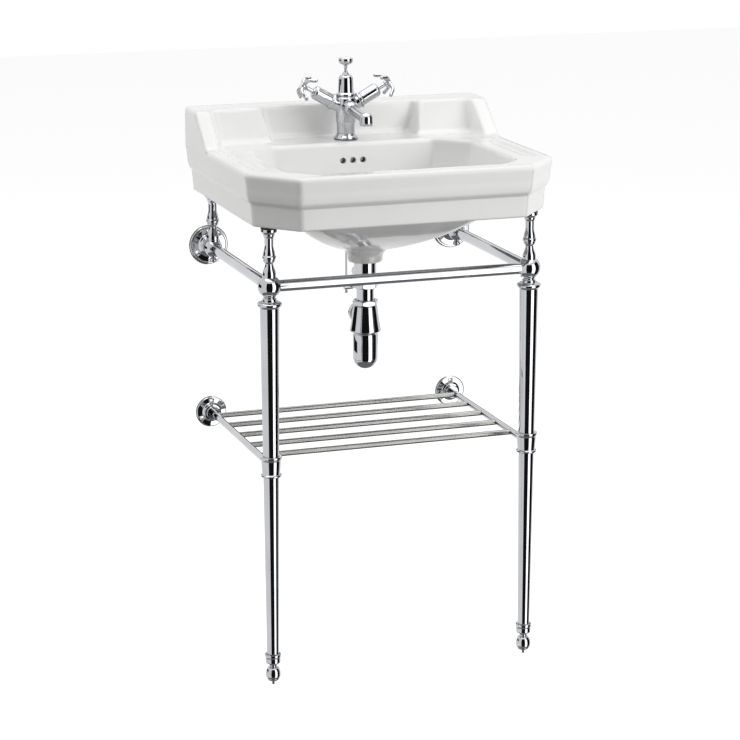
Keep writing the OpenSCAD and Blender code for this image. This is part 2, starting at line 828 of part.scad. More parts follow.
module tap_spout() {
    root_shares = [[1, 0, 3], [1.02, 0.35, 2], [0.72, 1, 0]];
    outlet_shares = [[0.97, 0, 0], [1, 0.12, 0], [1, 0.6, 2], [0.2, 1, 0]];
    drop = spout_reach * tan(spout_fall);
    spout_len = spout_reach / cos(spout_fall);
    color("silver")
        difference() {
            union() {
                translate([0, tap_y, rim_z + spout_z]) along_spout() {
                    translate([0, 0, body_r - spigot_h + fit_gap])
                        cylinder(r = spout_r, h = spout_len - body_r + spigot_h - fit_gap);
                    translate([0, 0, body_r + fit_gap])
                        turned(root_shares, spout_root_r, spout_root - body_r);
                }
                translate([0, tap_y - spout_reach, rim_z + outlet_z])
                    turned(outlet_shares, outlet_r, spout_z - outlet_z - drop + spout_r + outlet_cap);
            }
            translate([0, tap_y, rim_z]) cylinder(r = body_r * body_shares[3][0] + fit_gap, h = splash_h * 2);
            translate([0, tap_y - spout_reach, rim_z + outlet_z - over])
                cylinder(r = aerator_r + fit_gap, h = aerator_h + over);
        }
}

// Perforated outlet of the spout
aerator_r = 10.4;
aerator_h = 7;
aerator_holes = 6;
aerator_hole_r = 1.6;
aerator_ring_share = 0.6;
module spout_aerator() {
    color("silver")
        translate([0, tap_y - spout_reach, rim_z + outlet_z])
            difference() {
                cylinder(r = aerator_r, h = aerator_h - fit_gap);
                for (i = [0 : aerator_holes - 1])
                    rotate([0, 0, 360 * i / aerator_holes])
                        translate([aerator_r * aerator_ring_share, 0, -over])
                            cylinder(r = aerator_hole_r, h = aerator_h + over);
            }
}

// Valve bonnet on each arm, with the cartridge that seats in the body
cartridge_r = 9;
cartridge_h = 12;
bonnet_r = 15;
bonnet_h = 44;
bonnet_shares = [
    [0.92, 0, 1], [1, 0.03, 0], [1, 0.08, 1], [0.8, 0.14, 0], [0.84, 0.2, 0],
    [0.84, 0.84, 2], [0.5, 0.97, 0], [0.34, 1, 0]
];
spindle_r = 4;
spindle_in = 6;
hub_len = 12;
module valve_bonnet(side) {
    color("silver")
        along_arm(side) {
            difference() {
                union() {
                    translate([0, 0, arm_root]) turned(bonnet_shares, bonnet_r, bonnet_h);
                    translate([0, 0, arm_root - cartridge_h])
                        cylinder(r = cartridge_r, h = cartridge_h + over);
                }
                translate([0, 0, arm_root - cartridge_h - over])
                    cylinder(r = spindle_r + run_gap, h = cartridge_h + bonnet_h + 2 * over);
            }
        }
}

module spindle(side) {
    start = arm_root - cartridge_h + run_gap;
    color("silver")
        along_arm(side)
            translate([0, 0, start]) cylinder(r = spindle_r, h = arm_len - hub_len / 2 + spindle_in - start);
}

// Handle: a turned hub with four prongs that curl back towards the body
hub_r = 7.5;
hub_shares = [
    [0.62, 0, 0], [0.75, 0.1, 1], [0.7, 0.3, 1], [1, 0.55, 0], [1, 0.75, 1], [0.92, 1, 0]
];
prong_r = 2.4;
prong_tip_r = 3.3;
prong_root_share = 0.65;
prong_bend = 74;
prongs_n = 4;
index_r = 5.6;
index_t = 2;
module prong() {
    // Radius of the curl that carries the tip out to its reach
    curl = (prong_reach - hub_r / 2) / sin(prong_bend);
    translate([hub_r / 2, 0, hub_len * prong_root_share - curl]) {
        rotate([90, 0, 0]) rotate([0, 0, 90 - prong_bend])
            rotate_extrude(angle = prong_bend) translate([curl, 0]) circle(r = prong_r, $fn = 24);
        translate([curl * sin(prong_bend), 0, curl * cos(prong_bend)]) sphere(r = prong_tip_r);
    }
}

module handle(side) {
    color("silver")
        along_arm(side) translate([0, 0, arm_len - hub_len / 2])
            difference() {
                union() {
                    turned(hub_shares, hub_r, hub_len);
                    for (i = [0 : prongs_n - 1]) rotate([0, 0, 360 * i / prongs_n]) prong();
                }
                translate([0, 0, -over]) cylinder(r = spindle_r + fit_gap, h = spindle_in + fit_gap + over);
                translate([0, 0, hub_len - index_t / 2]) cylinder(r = index_r + fit_gap, h = index_t);
            }
}

// China button in the end of each handle
button_shares = [[1, 0, 0], [1, 0.35, 2], [0.2, 1, 0]];
module index_button(side) {
    color("white")
        along_arm(side) translate([0, 0, arm_len + hub_len / 2 - index_t / 2])
            turned(button_shares, index_r, index_t);
}

// Centre bonnet that guides the pop-up rod
centre_h = 45;
centre_r = 17;
centre_shares = [
    [0.94, 0, 1], [1, 0.04, 0], [1, 0.09, 1], [0.82, 0.14, 0], [0.82, 0.2, 0], [0.76, 0.66, 2],
    [0.42, 0.84, 0], [0.38, 0.86, 0], [0.2, 0.98, 0], [0.18, 1, 0]
];
module centre_bonnet() {
    color("silver")
        translate([0, tap_y, rim_z + body_top_z])
            difference() {
                turned(centre_shares, centre_r, centre_h);
                translate([0, 0, -over]) cylinder(r = rod_r + run_gap, h = centre_h + 2 * over);
            }
}

// Stud, horseshoe washer and nut that clamp the tap to the deck
horseshoe_r = 24;
horseshoe_t = 3;
fixing_nut_r = 6.5;
fixing_nut_h = 6;
module tap_fixings() {
    deck_under = rim_z - clay_t;
    slot_y = -(stud_in + inlet_r) / 2 + stud_r / 2;
    color("goldenrod")
        translate([0, tap_y, 0]) {
            translate([0, -stud_in, tail_z + inlet_depth - fit_gap - stud_h])
                cylinder(r = stud_r, h = stud_h);
            difference() {
                translate([0, 0, deck_under - horseshoe_t]) cylinder(r = horseshoe_r, h = horseshoe_t);
                translate([-tail_r, slot_y, deck_under - horseshoe_t - over])
                    cube([2 * tail_r, 2 * horseshoe_r, horseshoe_t + 2 * over]);
                translate([0, -stud_in, deck_under - horseshoe_t - over])
                    cylinder(r = stud_r + fit_gap, h = horseshoe_t + 2 * over);
            }
            translate([0, -stud_in, deck_under - horseshoe_t - fixing_nut_h - fit_gap])
                difference() {
                    cylinder(r = fixing_nut_r, h = fixing_nut_h, $fn = 6);
                    translate([0, 0, -over]) cylinder(r = stud_r + fit_gap, h = fixing_nut_h + 2 * over);
                }
        }
}

// Pop-up lift: knob with its china top, rod and the coupling on its end
knob_r = 12.6;
knob_h = 23;
knob_z = rim_z + body_top_z + centre_h + run_gap;
knob_shares = [
    [0.22, 0, 0], [0.26, 0.15, 1], [0.4, 0.4, 0], [0.55, 0.52, 1], [1, 0.68, 0],
    [1.02, 0.85, 0], [0.97, 1, 0], [0.84, 1, 0]
];
knob_rod_in = 8;
china_r = 10.4;
china_t = 6;
rod_tip_r = 3;
module lift_knob() {
    color("silver")
        translate([0, tap_y, knob_z])
            difference() {
                turned(knob_shares, knob_r, knob_h);
                translate([0, 0, -over]) cylinder(r = rod_r + fit_gap, h = knob_rod_in + fit_gap + over);
                translate([0, 0, knob_h - china_t / 2]) cylinder(r = china_r + fit_gap, h = china_t);
            }
}

module knob_index() {
    dome_shares = [[1, 0, 0], [1, 0.4, 2], [0.15, 1, 0]];
    color("white")
        translate([0, tap_y, knob_z + knob_h - china_t / 2]) turned(dome_shares, china_r, china_t);
}

module lift_rod() {
    color("silver")
        translate([0, tap_y, 0]) {
            translate([0, 0, rod_foot]) cylinder(r = rod_r, h = knob_z + knob_rod_in - rod_foot);
            translate([0, 0, rod_foot]) sphere(r = rod_tip_r);
        }
}

// Lever of the pop-up: a ball rod pivoting in the side of the waste, cranked
// down to the coupling on the lift rod
pivot_drop = 64;
pivot_z = floor_z - pivot_drop;
pivot_out = 38;
lever_reach = waste_back - tap_back - pivot_out;
pivot_ball_r = 7;
crank_drop = 40;
crank_start = 16;
crank_end = 52;
lever_past = 14;
lever_in = 4;
// Sideways offset of the lever from the lift rod, and the coupling's holes
coupling_side = 7.5;
coupling_r = 7;
coupling_hole_r = 4;
rod_foot = pivot_z - crank_drop - coupling_r - 2 * rod_r;
module rod_connector() {
    z = pivot_z - crank_drop;
    ends = coupling_side + coupling_hole_r + 2 * rod_r;
    color("silver")
        translate([0, tap_y, z])
            difference() {
                translate([-2 * rod_r - fit_gap, 0, 0]) rotate([0, 90, 0]) cylinder(r = coupling_r, h = ends);
                translate([0, 0, -coupling_r - over])
                    cylinder(r = rod_r + fit_gap, h = 2 * (coupling_r + over));
                translate([coupling_side, -coupling_r - over, 0])
                    to_wall() cylinder(r = coupling_hole_r, h = 2 * (coupling_r + over));
            }
}

// Round bar from point a to point b
module bar(a, b, r) {
    v = b - a;
    translate(a) rotate([0, acos(v.z / norm(v)), atan2(v.y, v.x)]) cylinder(r = r, h = norm(v));
}

module pivot_rod() {
    y = waste_y + pivot_out;
    stops = [
        [0, -pivot_out - lever_in, 0], [0, crank_start, 0],
        [coupling_side, crank_end, -crank_drop], [coupling_side, lever_reach + lever_past, -crank_drop]
    ];
    color("silver")
        translate([0, y, pivot_z]) {
            for (i = [0 : len(stops) - 2]) bar(stops[i], stops[i + 1], rod_r);
            for (i = [1, 2]) translate(stops[i]) sphere(r = rod_r + fit_gap);
            sphere(r = pivot_ball_r);
        }
}

// Chrome waste: flange in the bowl, slotted tube, side port for the lever
flange_gap = 0.5;
flange_r = flange_recess_r - flange_gap;
waste_bore = pipe_r + fit_gap;
waste_drop = 83;
waste_foot = floor_z - waste_drop;
tail_thread_r = 17.6;
tail_thread_h = 10;
port_r = 9.6;
port_bore = 7.2;
port_neck = 6.8;
slot_w = 6;
slot_h = 20;
module waste_body() {
    color("silver")
        translate([0, waste_y, 0])
            difference() {
                union() {
                    translate([0, 0, waste_foot + tail_thread_h])
                        cylinder(r = waste_r, h = floor_z - waste_foot - tail_thread_h - fit_gap);
                    translate([0, 0, waste_foot]) cylinder(r = tail_thread_r, h = tail_thread_h + over);
                    translate([0, 0, floor_z - flange_recess_h + fit_gap])
                        cylinder(
                            r1 = flange_r - flange_recess_h / 2, r2 = flange_r,
                            h = flange_recess_h - 2 * fit_gap
                        );
                    translate([0, 0, pivot_z]) to_wall() cylinder(r = port_r, h = pivot_out + port_bore);
                }
                translate([0, 0, waste_foot - over])
                    cylinder(r = waste_bore, h = floor_z - waste_foot + 2 * over);
                translate([0, 0, pivot_z]) to_wall() cylinder(r = port_neck, h = pivot_out);
                translate([0, pivot_out - port_bore, pivot_z])
                    to_wall() cylinder(r = port_bore, h = 2 * port_bore + over);
                for (a = [0, 180])
                    rotate([0, 0, a])
                        translate([0, -slot_w / 2, floor_z - flange_recess_h - 2 * slot_w - slot_h])
                            cube([waste_d, slot_w, slot_h]);
            }
}

module waste_seal() {
    color("dimgray")
        translate([0, waste_y, boss_z + nut_recess_h - seal_t])
            tube(nut_recess_r - flange_gap, waste_r + fit_gap, seal_t);
}

seal_t = 2;
module waste_nut() {
    color("goldenrod")
        translate([0, waste_y, boss_z])
            tube(nut_recess_r - flange_gap, waste_r + fit_gap, nut_recess_h - seal_t);
}

// Plug: a shallow dome on a guided stem that rides on the lever
plug_r = 21;
plug_t = 6;
plug_lift = lift_travel * pivot_out / lever_reach + 3 * run_gap;
plug_stem_r = 6.5;
plug_hole_r = 3.8;
plug_shares = [[0.72, 0, 0], [1, 0.25, 0], [1, 0.4, 2], [0.1, 1, 0]];
plug_fins = 4;
fin_t = 2;
fin_h = 24;
module waste_plug() {
    foot = pivot_z - 2 * plug_hole_r;
    head = floor_z + plug_lift;
    color("silver")
        translate([0, waste_y, 0])
            difference() {
                union() {
                    translate([0, 0, head]) turned(plug_shares, plug_r, plug_t);
                    translate([0, 0, foot]) cylinder(r = plug_stem_r, h = head - foot + over);
                    for (i = [0 : plug_fins - 1])
                        rotate([0, 0, 45 + 360 * i / plug_fins])
                            translate([0, -fin_t / 2, head - fin_h])
                                cube([waste_bore - 3 * run_gap, fin_t, fin_h + over]);
                }
                translate([0, -plug_stem_r - over, pivot_z])
                    to_wall() cylinder(r = plug_hole_r, h = 2 * (plug_stem_r + over));
            }
}

// Gland nut that holds the lever's ball in the port
gland_r = 11.7;
gland_start = 27;
gland_end = 50;
gland_exit = 5.6;
module pivot_nut() {
    port_end = pivot_out + port_bore + fit_gap;
    color("silver")
        translate([0, waste_y + gland_start, pivot_z])
            to_wall()
                difference() {
                    gland_shares = [[0.92, 0, 0], [1, 0.1, 0], [1, 0.7, 2], [0.7, 1, 0]];
                    turned(gland_shares, gland_r, gland_end - gland_start);
                    translate([0, 0, -over])
                        cylinder(r = port_r + fit_gap, h = port_end - gland_start + over);
                    cylinder(r = gland_exit, h = gland_end);
                }
}

// Hexagonal nut with a bored seat below and a smaller throat above, or the
// other way up where flip is 1
nut_corner_r = 24.3;
module hex_nut(z, h, seat_r, seat_h, flip) {
    translate([0, waste_y, z + (flip ? h : 0)]) mirror([0, 0, flip])
        difference() {
            cylinder(r = nut_corner_r, h = h, $fn = 6);
            translate([0, 0, -over]) cylinder(r = pipe_r + fit_gap, h = h + 2 * over);
            translate([0, 0, -over]) cylinder(r = seat_r + fit_gap, h = seat_h + over);
        }
}

inlet_nut_h = 11;
trap_nut_h = 10;
hood_drop = 167;
hood_z = floor_z - hood_drop;
hood_h = 58;
nut_lip = 2;
module inlet_nut() {
    color("silver")
        hex_nut(waste_foot - nut_lip, inlet_nut_h, tail_thread_r, inlet_nut_h - nut_lip, 1);
}

// Neck of the hood that the trap nut screws on
neck_r = 17.6;
neck_h = 8;
module trap_nut() {
    color("silver") hex_nut(hood_z + hood_h - neck_h, trap_nut_h, neck_r, neck_h, 0);
}

inlet_in_waste = 9;
dip_depth = 24;
pipe_wall = 1.2;
module inlet_pipe() {
    foot = hood_z - dip_depth;
    color("silver")
        translate([0, waste_y, foot])
            tube(pipe_r, pipe_r - pipe_wall, waste_foot + inlet_in_waste - foot);
}

// Conical hood of the trap, open below for the bottle and behind for the pipe
hood_r = hood_d / 2;
bottle_r = bottle_d / 2;
bottle_in = 12;
chamber_r = 19;
chamber_h = 32;
outlet_up = 28;
outlet_out = 34;
outlet_boss_r = 17.4;
socket_h = 8;
hood_shares = [
    [0.86, 0, 0], [0.92, 0.02, 0], [1, 0.055, 0], [0.74, 0.84, 1], [0.66, 0.862, 0],
    [0.611, 0.862, 0], [0.611, 1, 0]
];
module trap_hood() {
    color("silver")
        translate([0, waste_y, hood_z])
            difference() {
                union() {
                    turned(hood_shares, hood_r, hood_h);
                    translate([0, 0, outlet_up]) to_wall() cylinder(r = outlet_boss_r, h = outlet_out);
                }
                translate([0, 0, -over]) cylinder(r = bottle_r + fit_gap, h = bottle_in + seal_t + over);
                cylinder(r = chamber_r, h = bottle_in + chamber_h);
                cylinder(r = pipe_r + fit_gap, h = hood_h + over);
                translate([0, 0, outlet_up]) to_wall() cylinder(r = pipe_r - pipe_wall, h = outlet_out);
                translate([0, outlet_out - socket_h, outlet_up])
                    to_wall() cylinder(r = pipe_r + fit_gap, h = socket_h + over);
            }
}

// Outlet nut that grips the discharge pipe
outlet_nut_r = 19.2;
outlet_nut_start = 28.4;
outlet_nut_h = 13.6;
outlet_nut_shares = [[0.9, 0, 0], [1, 0.08, 0], [1, 0.86, 2], [0.92, 1, 0]];
module outlet_nut() {
    boss_end = outlet_out + fit_gap;
    color("silver")
        translate([0, waste_y + outlet_nut_start, hood_z + outlet_up])
            to_wall()
                difference() {
                    turned(outlet_nut_shares, outlet_nut_r, outlet_nut_h);
                    translate([0, 0, -over]) cylinder(r = pipe_r + fit_gap, h = outlet_nut_h + 2 * over);
                    translate([0, 0, -over])
                        cylinder(r = outlet_boss_r + fit_gap, h = boss_end - outlet_nut_start + over);
                }
}

// Bottle with a round foot, open at its top
bottle_drop = 46;
bottle_wall = 2;
module trap_bottle() {
    color("silver")
        translate([0, waste_y, hood_z - bottle_drop])
            difference() {
                union() {
                    cylinder(r = bottle_r, h = bottle_drop + bottle_in);
                    sphere(r = bottle_r);
                }
                cylinder(r = bottle_r - bottle_wall, h = bottle_drop + bottle_in + over);
                sphere(r = bottle_r - bottle_wall);
            }
}

module bottle_seal() {
    color("dimgray")
        translate([0, waste_y, hood_z + bottle_in]) tube(bottle_r, chamber_r + fit_gap, seal_t);
}

basin();
tap_gasket();
tap_base();
tap_body();
tap_spout();
spout_aerator();
centre_bonnet();
valve_bonnet(-1);  // left_bonnet
valve_bonnet(1);  // right_bonnet
tap_fixings();
spindle(-1);  // left_spindle
handle(-1);  // left_handle
index_button(-1);  // left_index
spindle(1);  // right_spindle
handle(1);  // right_handle
index_button(1);  // right_index
lift_knob();
knob_index();
lift_rod();
rod_connector();
waste_body();
waste_seal();
waste_nut();
waste_plug();
pivot_rod();
pivot_nut();
inlet_nut();
inlet_pipe();
trap_nut();
trap_hood();
trap_bottle();
bottle_seal();
outlet_nut();
front_rail();
side_rail(-1);  // left_rail
side_rail(1);  // right_rail
corner_ball(-1);  // left_ball
corner_ball(1);  // right_ball
leg(-1);  // left_leg
leg(1);  // right_leg
foot(-1);  // left_foot
foot(1);  // right_foot
level_pin(-1);  // left_pin
level_pin(1);  // right_pin
baluster(-leg_x, leg_y);  // front_left_baluster
baluster(leg_x, leg_y);  // front_right_baluster
baluster(-leg_x, tee_y);  // rear_left_baluster
baluster(leg_x, tee_y);  // rear_right_baluster
basin_pads();
tee(-1);  // left_tee
tee(1);  // right_tee
upper_flange(-1);  // upper_left_flange
upper_flange(1);  // upper_right_flange
lower_flange(-1);  // lower_left_flange
lower_flange(1);  // lower_right_flange
shelf_rail(-1);  // left_shelf_rail
shelf_rail(1);  // right_shelf_rail
shelf_bars();
shelf_collar(-1);  // left_shelf_collar
shelf_collar(1);  // right_shelf_collar
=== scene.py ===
# Console basin on a turned washstand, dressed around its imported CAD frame
import math

import bmesh
import bpy
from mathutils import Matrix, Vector


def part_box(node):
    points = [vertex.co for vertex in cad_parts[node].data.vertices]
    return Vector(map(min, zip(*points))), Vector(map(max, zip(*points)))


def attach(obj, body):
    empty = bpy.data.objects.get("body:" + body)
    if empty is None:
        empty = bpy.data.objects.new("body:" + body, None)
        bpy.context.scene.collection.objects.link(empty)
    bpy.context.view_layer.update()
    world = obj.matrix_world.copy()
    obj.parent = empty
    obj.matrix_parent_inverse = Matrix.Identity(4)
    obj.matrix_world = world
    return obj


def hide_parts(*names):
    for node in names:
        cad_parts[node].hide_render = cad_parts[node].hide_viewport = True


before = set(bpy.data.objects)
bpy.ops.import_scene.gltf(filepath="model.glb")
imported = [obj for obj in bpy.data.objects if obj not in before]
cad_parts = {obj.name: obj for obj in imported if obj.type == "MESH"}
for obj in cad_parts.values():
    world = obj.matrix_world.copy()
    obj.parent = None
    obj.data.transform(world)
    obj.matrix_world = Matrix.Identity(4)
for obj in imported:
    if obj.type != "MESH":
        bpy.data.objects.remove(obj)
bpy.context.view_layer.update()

mm = 0.001  # everything below is drawn in millimetres and scaled when its mesh is made
tiny = 1e-6


def nodeBox(node):
    low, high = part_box(node)
    return low / mm, high / mm


def nodeAxis(node):
    low, high = nodeBox(node)
    return (low + high) / 2


# places that several pieces share, all read from the frame
basinLow, basinHigh = nodeBox("basin")
backY = basinHigh.y
frontY = basinLow.y
halfW = basinHigh.x
splashZ = basinHigh.z
bossZ = basinLow.z
rimZ = nodeBox("tap_gasket")[0].z
seatZ = nodeBox("basin_pads")[1].z
tapY = nodeAxis("tap_gasket").y
wasteY = nodeAxis("waste_seal").y
legX = nodeAxis("right_leg").x
legY = nodeAxis("right_leg").y
rearY = nodeAxis("rear_right_baluster").y
railZ = nodeAxis("front_rail").z
shelfZ = nodeAxis("right_shelf_rail").z
pivotZ = nodeAxis("pivot_nut").z
sides = ((-1, "left"), (1, "right"))
print("frame read")


# materials

def newMaterial(name, look):
    mat = bpy.data.materials.new(name)
    mat.use_nodes = True
    shader = mat.node_tree.nodes["Principled BSDF"]
    shader.inputs["Metallic"].default_value = look.get("metallic", 0)
    shader.inputs["IOR"].default_value = look.get("ior", 1.5)
    shader.inputs["Coat Weight"].default_value = look.get("coat", 0)
    shader.inputs["Coat Roughness"].default_value = look.get("coatRoughness", 0.03)
    shader.inputs["Specular IOR Level"].default_value = look.get("specular", 0.5)
    return mat, mat.node_tree.nodes, mat.node_tree.links, shader


def noise(nodes, links, scale, detail, stretch=(1, 1, 1)):
    where = nodes.new("ShaderNodeTexCoord")
    mapping = nodes.new("ShaderNodeMapping")
    mapping.inputs["Scale"].default_value = stretch
    tex = nodes.new("ShaderNodeTexNoise")
    tex.inputs["Scale"].default_value = scale
    tex.inputs["Detail"].default_value = detail
    links.new(where.outputs["Object"], mapping.inputs["Vector"])
    links.new(mapping.outputs["Vector"], tex.inputs["Vector"])
    return tex


def ramp(nodes, links, source, low, high):
    # colours or greys spread over the middle of a noise
    node = nodes.new("ShaderNodeValToRGB")
    node.color_ramp.elements[0].position = 0.3
    node.color_ramp.elements[1].position = 0.7
    node.color_ramp.elements[0].color = (*low, 1)
    node.color_ramp.elements[1].color = (*high, 1)
    links.new(source, node.inputs["Fac"])
    return node


def finish(name, look):
    mat, nodes, links, shader = newMaterial(name, look)
    tone = noise(nodes, links, look["toneScale"], 4)
    colour = ramp(nodes, links, tone.outputs["Fac"], look["dark"], look["light"])
    links.new(colour.outputs["Color"], shader.inputs["Base Color"])
    smear = noise(nodes, links, look["smearScale"], 6, look.get("stretch", (1, 1, 1)))
    rough = nodes.new("ShaderNodeMapRange")
    rough.inputs["From Min"].default_value = 0.3
    rough.inputs["From Max"].default_value = 0.7
    rough.inputs["To Min"].default_value = look["roughness"][0]
    rough.inputs["To Max"].default_value = look["roughness"][1]
    links.new(smear.outputs["Fac"], rough.inputs["Value"])
    links.new(rough.outputs["Result"], shader.inputs["Roughness"])
    grain = noise(nodes, links, look["grainScale"], 3, look.get("stretch", (1, 1, 1)))
    bump = nodes.new("ShaderNodeBump")
    bump.inputs["Strength"].default_value = look["bump"]
    bump.inputs["Distance"].default_value = look.get("bumpDepth", 0.0002)
    links.new(grain.outputs["Fac"], bump.inputs["Height"])
    links.new(bump.outputs["Normal"], shader.inputs["Normal"])
    return mat


# scales are per metre, so 40 is a blotch of about 25 mm
glazeLook = dict(dark=(0.80, 0.80, 0.79), light=(0.83, 0.83, 0.82), toneScale=9, roughness=(0.09, 0.14),
                 smearScale=30, grainScale=55, bump=0.05, bumpDepth=0.0004, coat=0.3, coatRoughness=0.04)
# the dark brown clay colour is painted shade for the inside of the overflow passage, not the clay's own tone
clayShadeLook = dict(dark=(0.20, 0.18, 0.14), light=(0.30, 0.27, 0.22), toneScale=160, roughness=(0.55, 0.75),
                smearScale=300, grainScale=900, bump=0.4)
chinaLook = dict(dark=(0.86, 0.85, 0.83), light=(0.90, 0.89, 0.87), toneScale=90, roughness=(0.06, 0.1),
                 smearScale=200, grainScale=350, bump=0.03, coat=0.5)
chromeLook = dict(dark=(0.50, 0.51, 0.53), light=(0.58, 0.59, 0.61), toneScale=12, roughness=(0.025, 0.06),
                  smearScale=45, grainScale=420, bump=0.012, metallic=1)
satinLook = dict(dark=(0.29, 0.29, 0.28), light=(0.35, 0.35, 0.34), toneScale=25, roughness=(0.22, 0.32),
                 smearScale=60, grainScale=700, bump=0.05, metallic=1, stretch=(0.08, 1, 1))
brassLook = dict(dark=(0.62, 0.44, 0.19), light=(0.76, 0.57, 0.27), toneScale=80, roughness=(0.22, 0.4),
                 smearScale=140, grainScale=900, bump=0.08, metallic=1)
steelLook = dict(dark=(0.13, 0.13, 0.13), light=(0.24, 0.24, 0.24), toneScale=220, roughness=(0.25, 0.42),
                 smearScale=300, grainScale=1200, bump=0.1, metallic=1)
rubberLook = dict(dark=(0.012, 0.012, 0.012), light=(0.026, 0.026, 0.026), toneScale=150,
                  roughness=(0.45, 0.65), smearScale=260, grainScale=1500, bump=0.25)

glaze = finish("glazedFireclay", glazeLook)
clayPaintedShade = finish("unglazedClayPaintedShade", clayShadeLook)
china = finish("whiteChina", chinaLook)
chrome = finish("polishedChrome", chromeLook)
satin = finish("satinChrome", satinLook)
brass = finish("turnedBrass", brassLook)
steel = finish("darkSteelThread", steelLook)
rubber = finish("blackRubber", rubberLook)
print("materials made")


# meshes

def linked(obj):
    bpy.context.scene.collection.objects.link(obj)
    return obj


def newPiece(name, verts, faces):
    mesh = bpy.data.meshes.new(name)
    mesh.from_pydata([Vector(v) * mm for v in verts], [], faces)
    mesh.update()
    obj = linked(bpy.data.objects.new(name, mesh))
    outward(obj)
    return obj


def outward(obj):
    bm = bmesh.new()
    bm.from_mesh(obj.data)
    bmesh.ops.recalc_face_normals(bm, faces=bm.faces)
    bm.to_mesh(obj.data)
    bm.free()
    obj.data.shade_smooth()


def applied(obj):
    graph = bpy.context.evaluated_depsgraph_get()
    mesh = bpy.data.meshes.new_from_object(obj.evaluated_get(graph))
    obj.modifiers.clear()
    obj.data = mesh
    return obj


def combine(obj, tool, how):
    mod = obj.modifiers.new("combine", "BOOLEAN")
    mod.operation = how
    mod.solver = "MANIFOLD"
    mod.object = tool
    applied(obj)
    bpy.data.objects.remove(tool)
    return obj


def join(obj, *tools):
    for tool in tools:
        combine(obj, tool, "UNION")
    return obj


def cut(obj, *tools):
    for tool in tools:
        combine(obj, tool, "DIFFERENCE")
    return obj


def melt(obj, voxel, passes):
    # one even skin over everything, with its creases softened
    skin = obj.modifiers.new("skin", "REMESH")
    skin.mode = "VOXEL"
    skin.voxel_size = voxel * mm
    soft = obj.modifiers.new("soft", "SMOOTH")
    soft.factor = 0.5
    soft.iterations = passes
    applied(obj)
    obj.data.shade_smooth()
    return obj


def place(obj, material, slot, body, *nodes):
    obj.data.materials.clear()
    obj.data.materials.append(material)
    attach(obj, body)
    if nodes:
        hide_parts(*nodes)
    return obj


def chromed(obj, node, body="root"):
    return place(obj, chrome, "chrome", body, node)


# outlines of turned work: rows of radius share, height share and the stretch that follows

def stretch(a, b, kind, steps):
    points = []
    for i in range(1, steps):
        t = i / steps
        quarter = t * math.pi / 2
        if kind == "ogee":
            u, w = (1 - math.cos(t * math.pi)) / 2, t
        elif kind == "round":  # leaves a along the axis
            u, w = 1 - math.cos(quarter), math.sin(quarter)
        elif kind == "hollow":  # meets b along the axis
            u, w = math.sin(quarter), 1 - math.cos(quarter)
        points.append((a[0] + (b[0] - a[0]) * u, a[1] + (b[1] - a[1]) * w))
    return points


def outline(rows, radius, height, steps=14):
    line = []
    for i, row in enumerate(rows):
        here = (row[0] * radius, row[1] * height)
        line.append(here)
        if len(row) > 2 and i + 1 < len(rows):
            there = (rows[i + 1][0] * radius, rows[i + 1][1] * height)
            line += stretch(here, there, row[2], steps)
    return line


easing = dict(
    bend=0.24,    # smallest turn that is rounded, in radians
    share=0.42,   # most of a side that one corner may take
    steps=4,
    longRun=1.6,  # a straight longer than this is held flat
    hold=0.3,
)


def eased(line, fillet, closed=False):
    # rounds each corner, then holds the long straights flat with a point near each end
    e = easing
    points = []
    for i, p in enumerate(line):
        p = Vector(p)
        back = Vector(line[i - 1]) - p
        ahead = Vector(line[(i + 1) % len(line)]) - p
        atEnd = not closed and i in (0, len(line) - 1)
        if atEnd or min(back.length, ahead.length) < tiny or back.angle(-ahead) < e["bend"]:
            points.append(p)
            continue
        a = back.normalized() * min(fillet, back.length * e["share"])
        b = ahead.normalized() * min(fillet, ahead.length * e["share"])
        for k in range(e["steps"] + 1):
            s = k / e["steps"]
            points.append(p + a * (1 - s) ** 2 + b * s ** 2)
    held = []
    for i, p in enumerate(points):
        held.append(p)
        if i == len(points) - 1 and not closed:
            break
        nextP = points[(i + 1) % len(points)]
        run = nextP - p
        if run.length > e["longRun"]:
            inset = run.normalized() * e["hold"]
            held += [p + inset, nextP - inset]
    return held


def lathe(name, line, at, axis=(0, 0, 1), closed=False, segments=96, bulge=None):
    # line holds radius and distance along the axis; bulge changes the radius with angle and distance
    at, axis = Vector(at), Vector(axis).normalized()
    side = Vector((1, 0, 0)) if abs(axis.x) < 0.9 else Vector((0, 1, 0))
    side = (side - axis * side.dot(axis)).normalized()
    other = axis.cross(side)
    verts, rings = [], []
    for r, h in line:
        if r < tiny:
            rings.append([len(verts)])
            verts.append(at + axis * h)
            continue
        rings.append(list(range(len(verts), len(verts) + segments)))
        for k in range(segments):
            turn = 2 * math.pi * k / segments
            reach = r if bulge is None else bulge(r, h, turn)
            verts.append(at + axis * h + (side * math.cos(turn) + other * math.sin(turn)) * reach)
    faces = []
    pairs = list(zip(rings, rings[1:])) + ([(rings[-1], rings[0])] if closed else [])
    for a, b in pairs:
        for k in range(segments):
            n = (k + 1) % segments
            if len(a) == 1 and len(b) > 1:
                faces.append((a[0], b[n], b[k]))
            elif len(b) == 1 and len(a) > 1:
                faces.append((a[k], a[n], b[0]))
            elif len(a) > 1:
                faces.append((a[k], a[n], b[n], b[k]))
    return newPiece(name, verts, faces)


def lathed(rows):
    # closes an outline on the axis at both ends
    return [(0, rows[0][1])] + rows + [(0, rows[-1][1])]


def turnedPiece(name, rows, radius, height, at, axis=(0, 0, 1), fillet=0.5, segments=96):
    return lathe(name, eased(lathed(outline(rows, radius, height)), fillet), at, axis, segments=segments)


def ringPiece(name, line, at, axis=(0, 0, 1), fillet=0.35, segments=96, bulge=None):
    # bored piece: its line runs up the outside and back down the bore
    return lathe(name, eased(line, fillet, True), at, axis, True, segments, bulge)


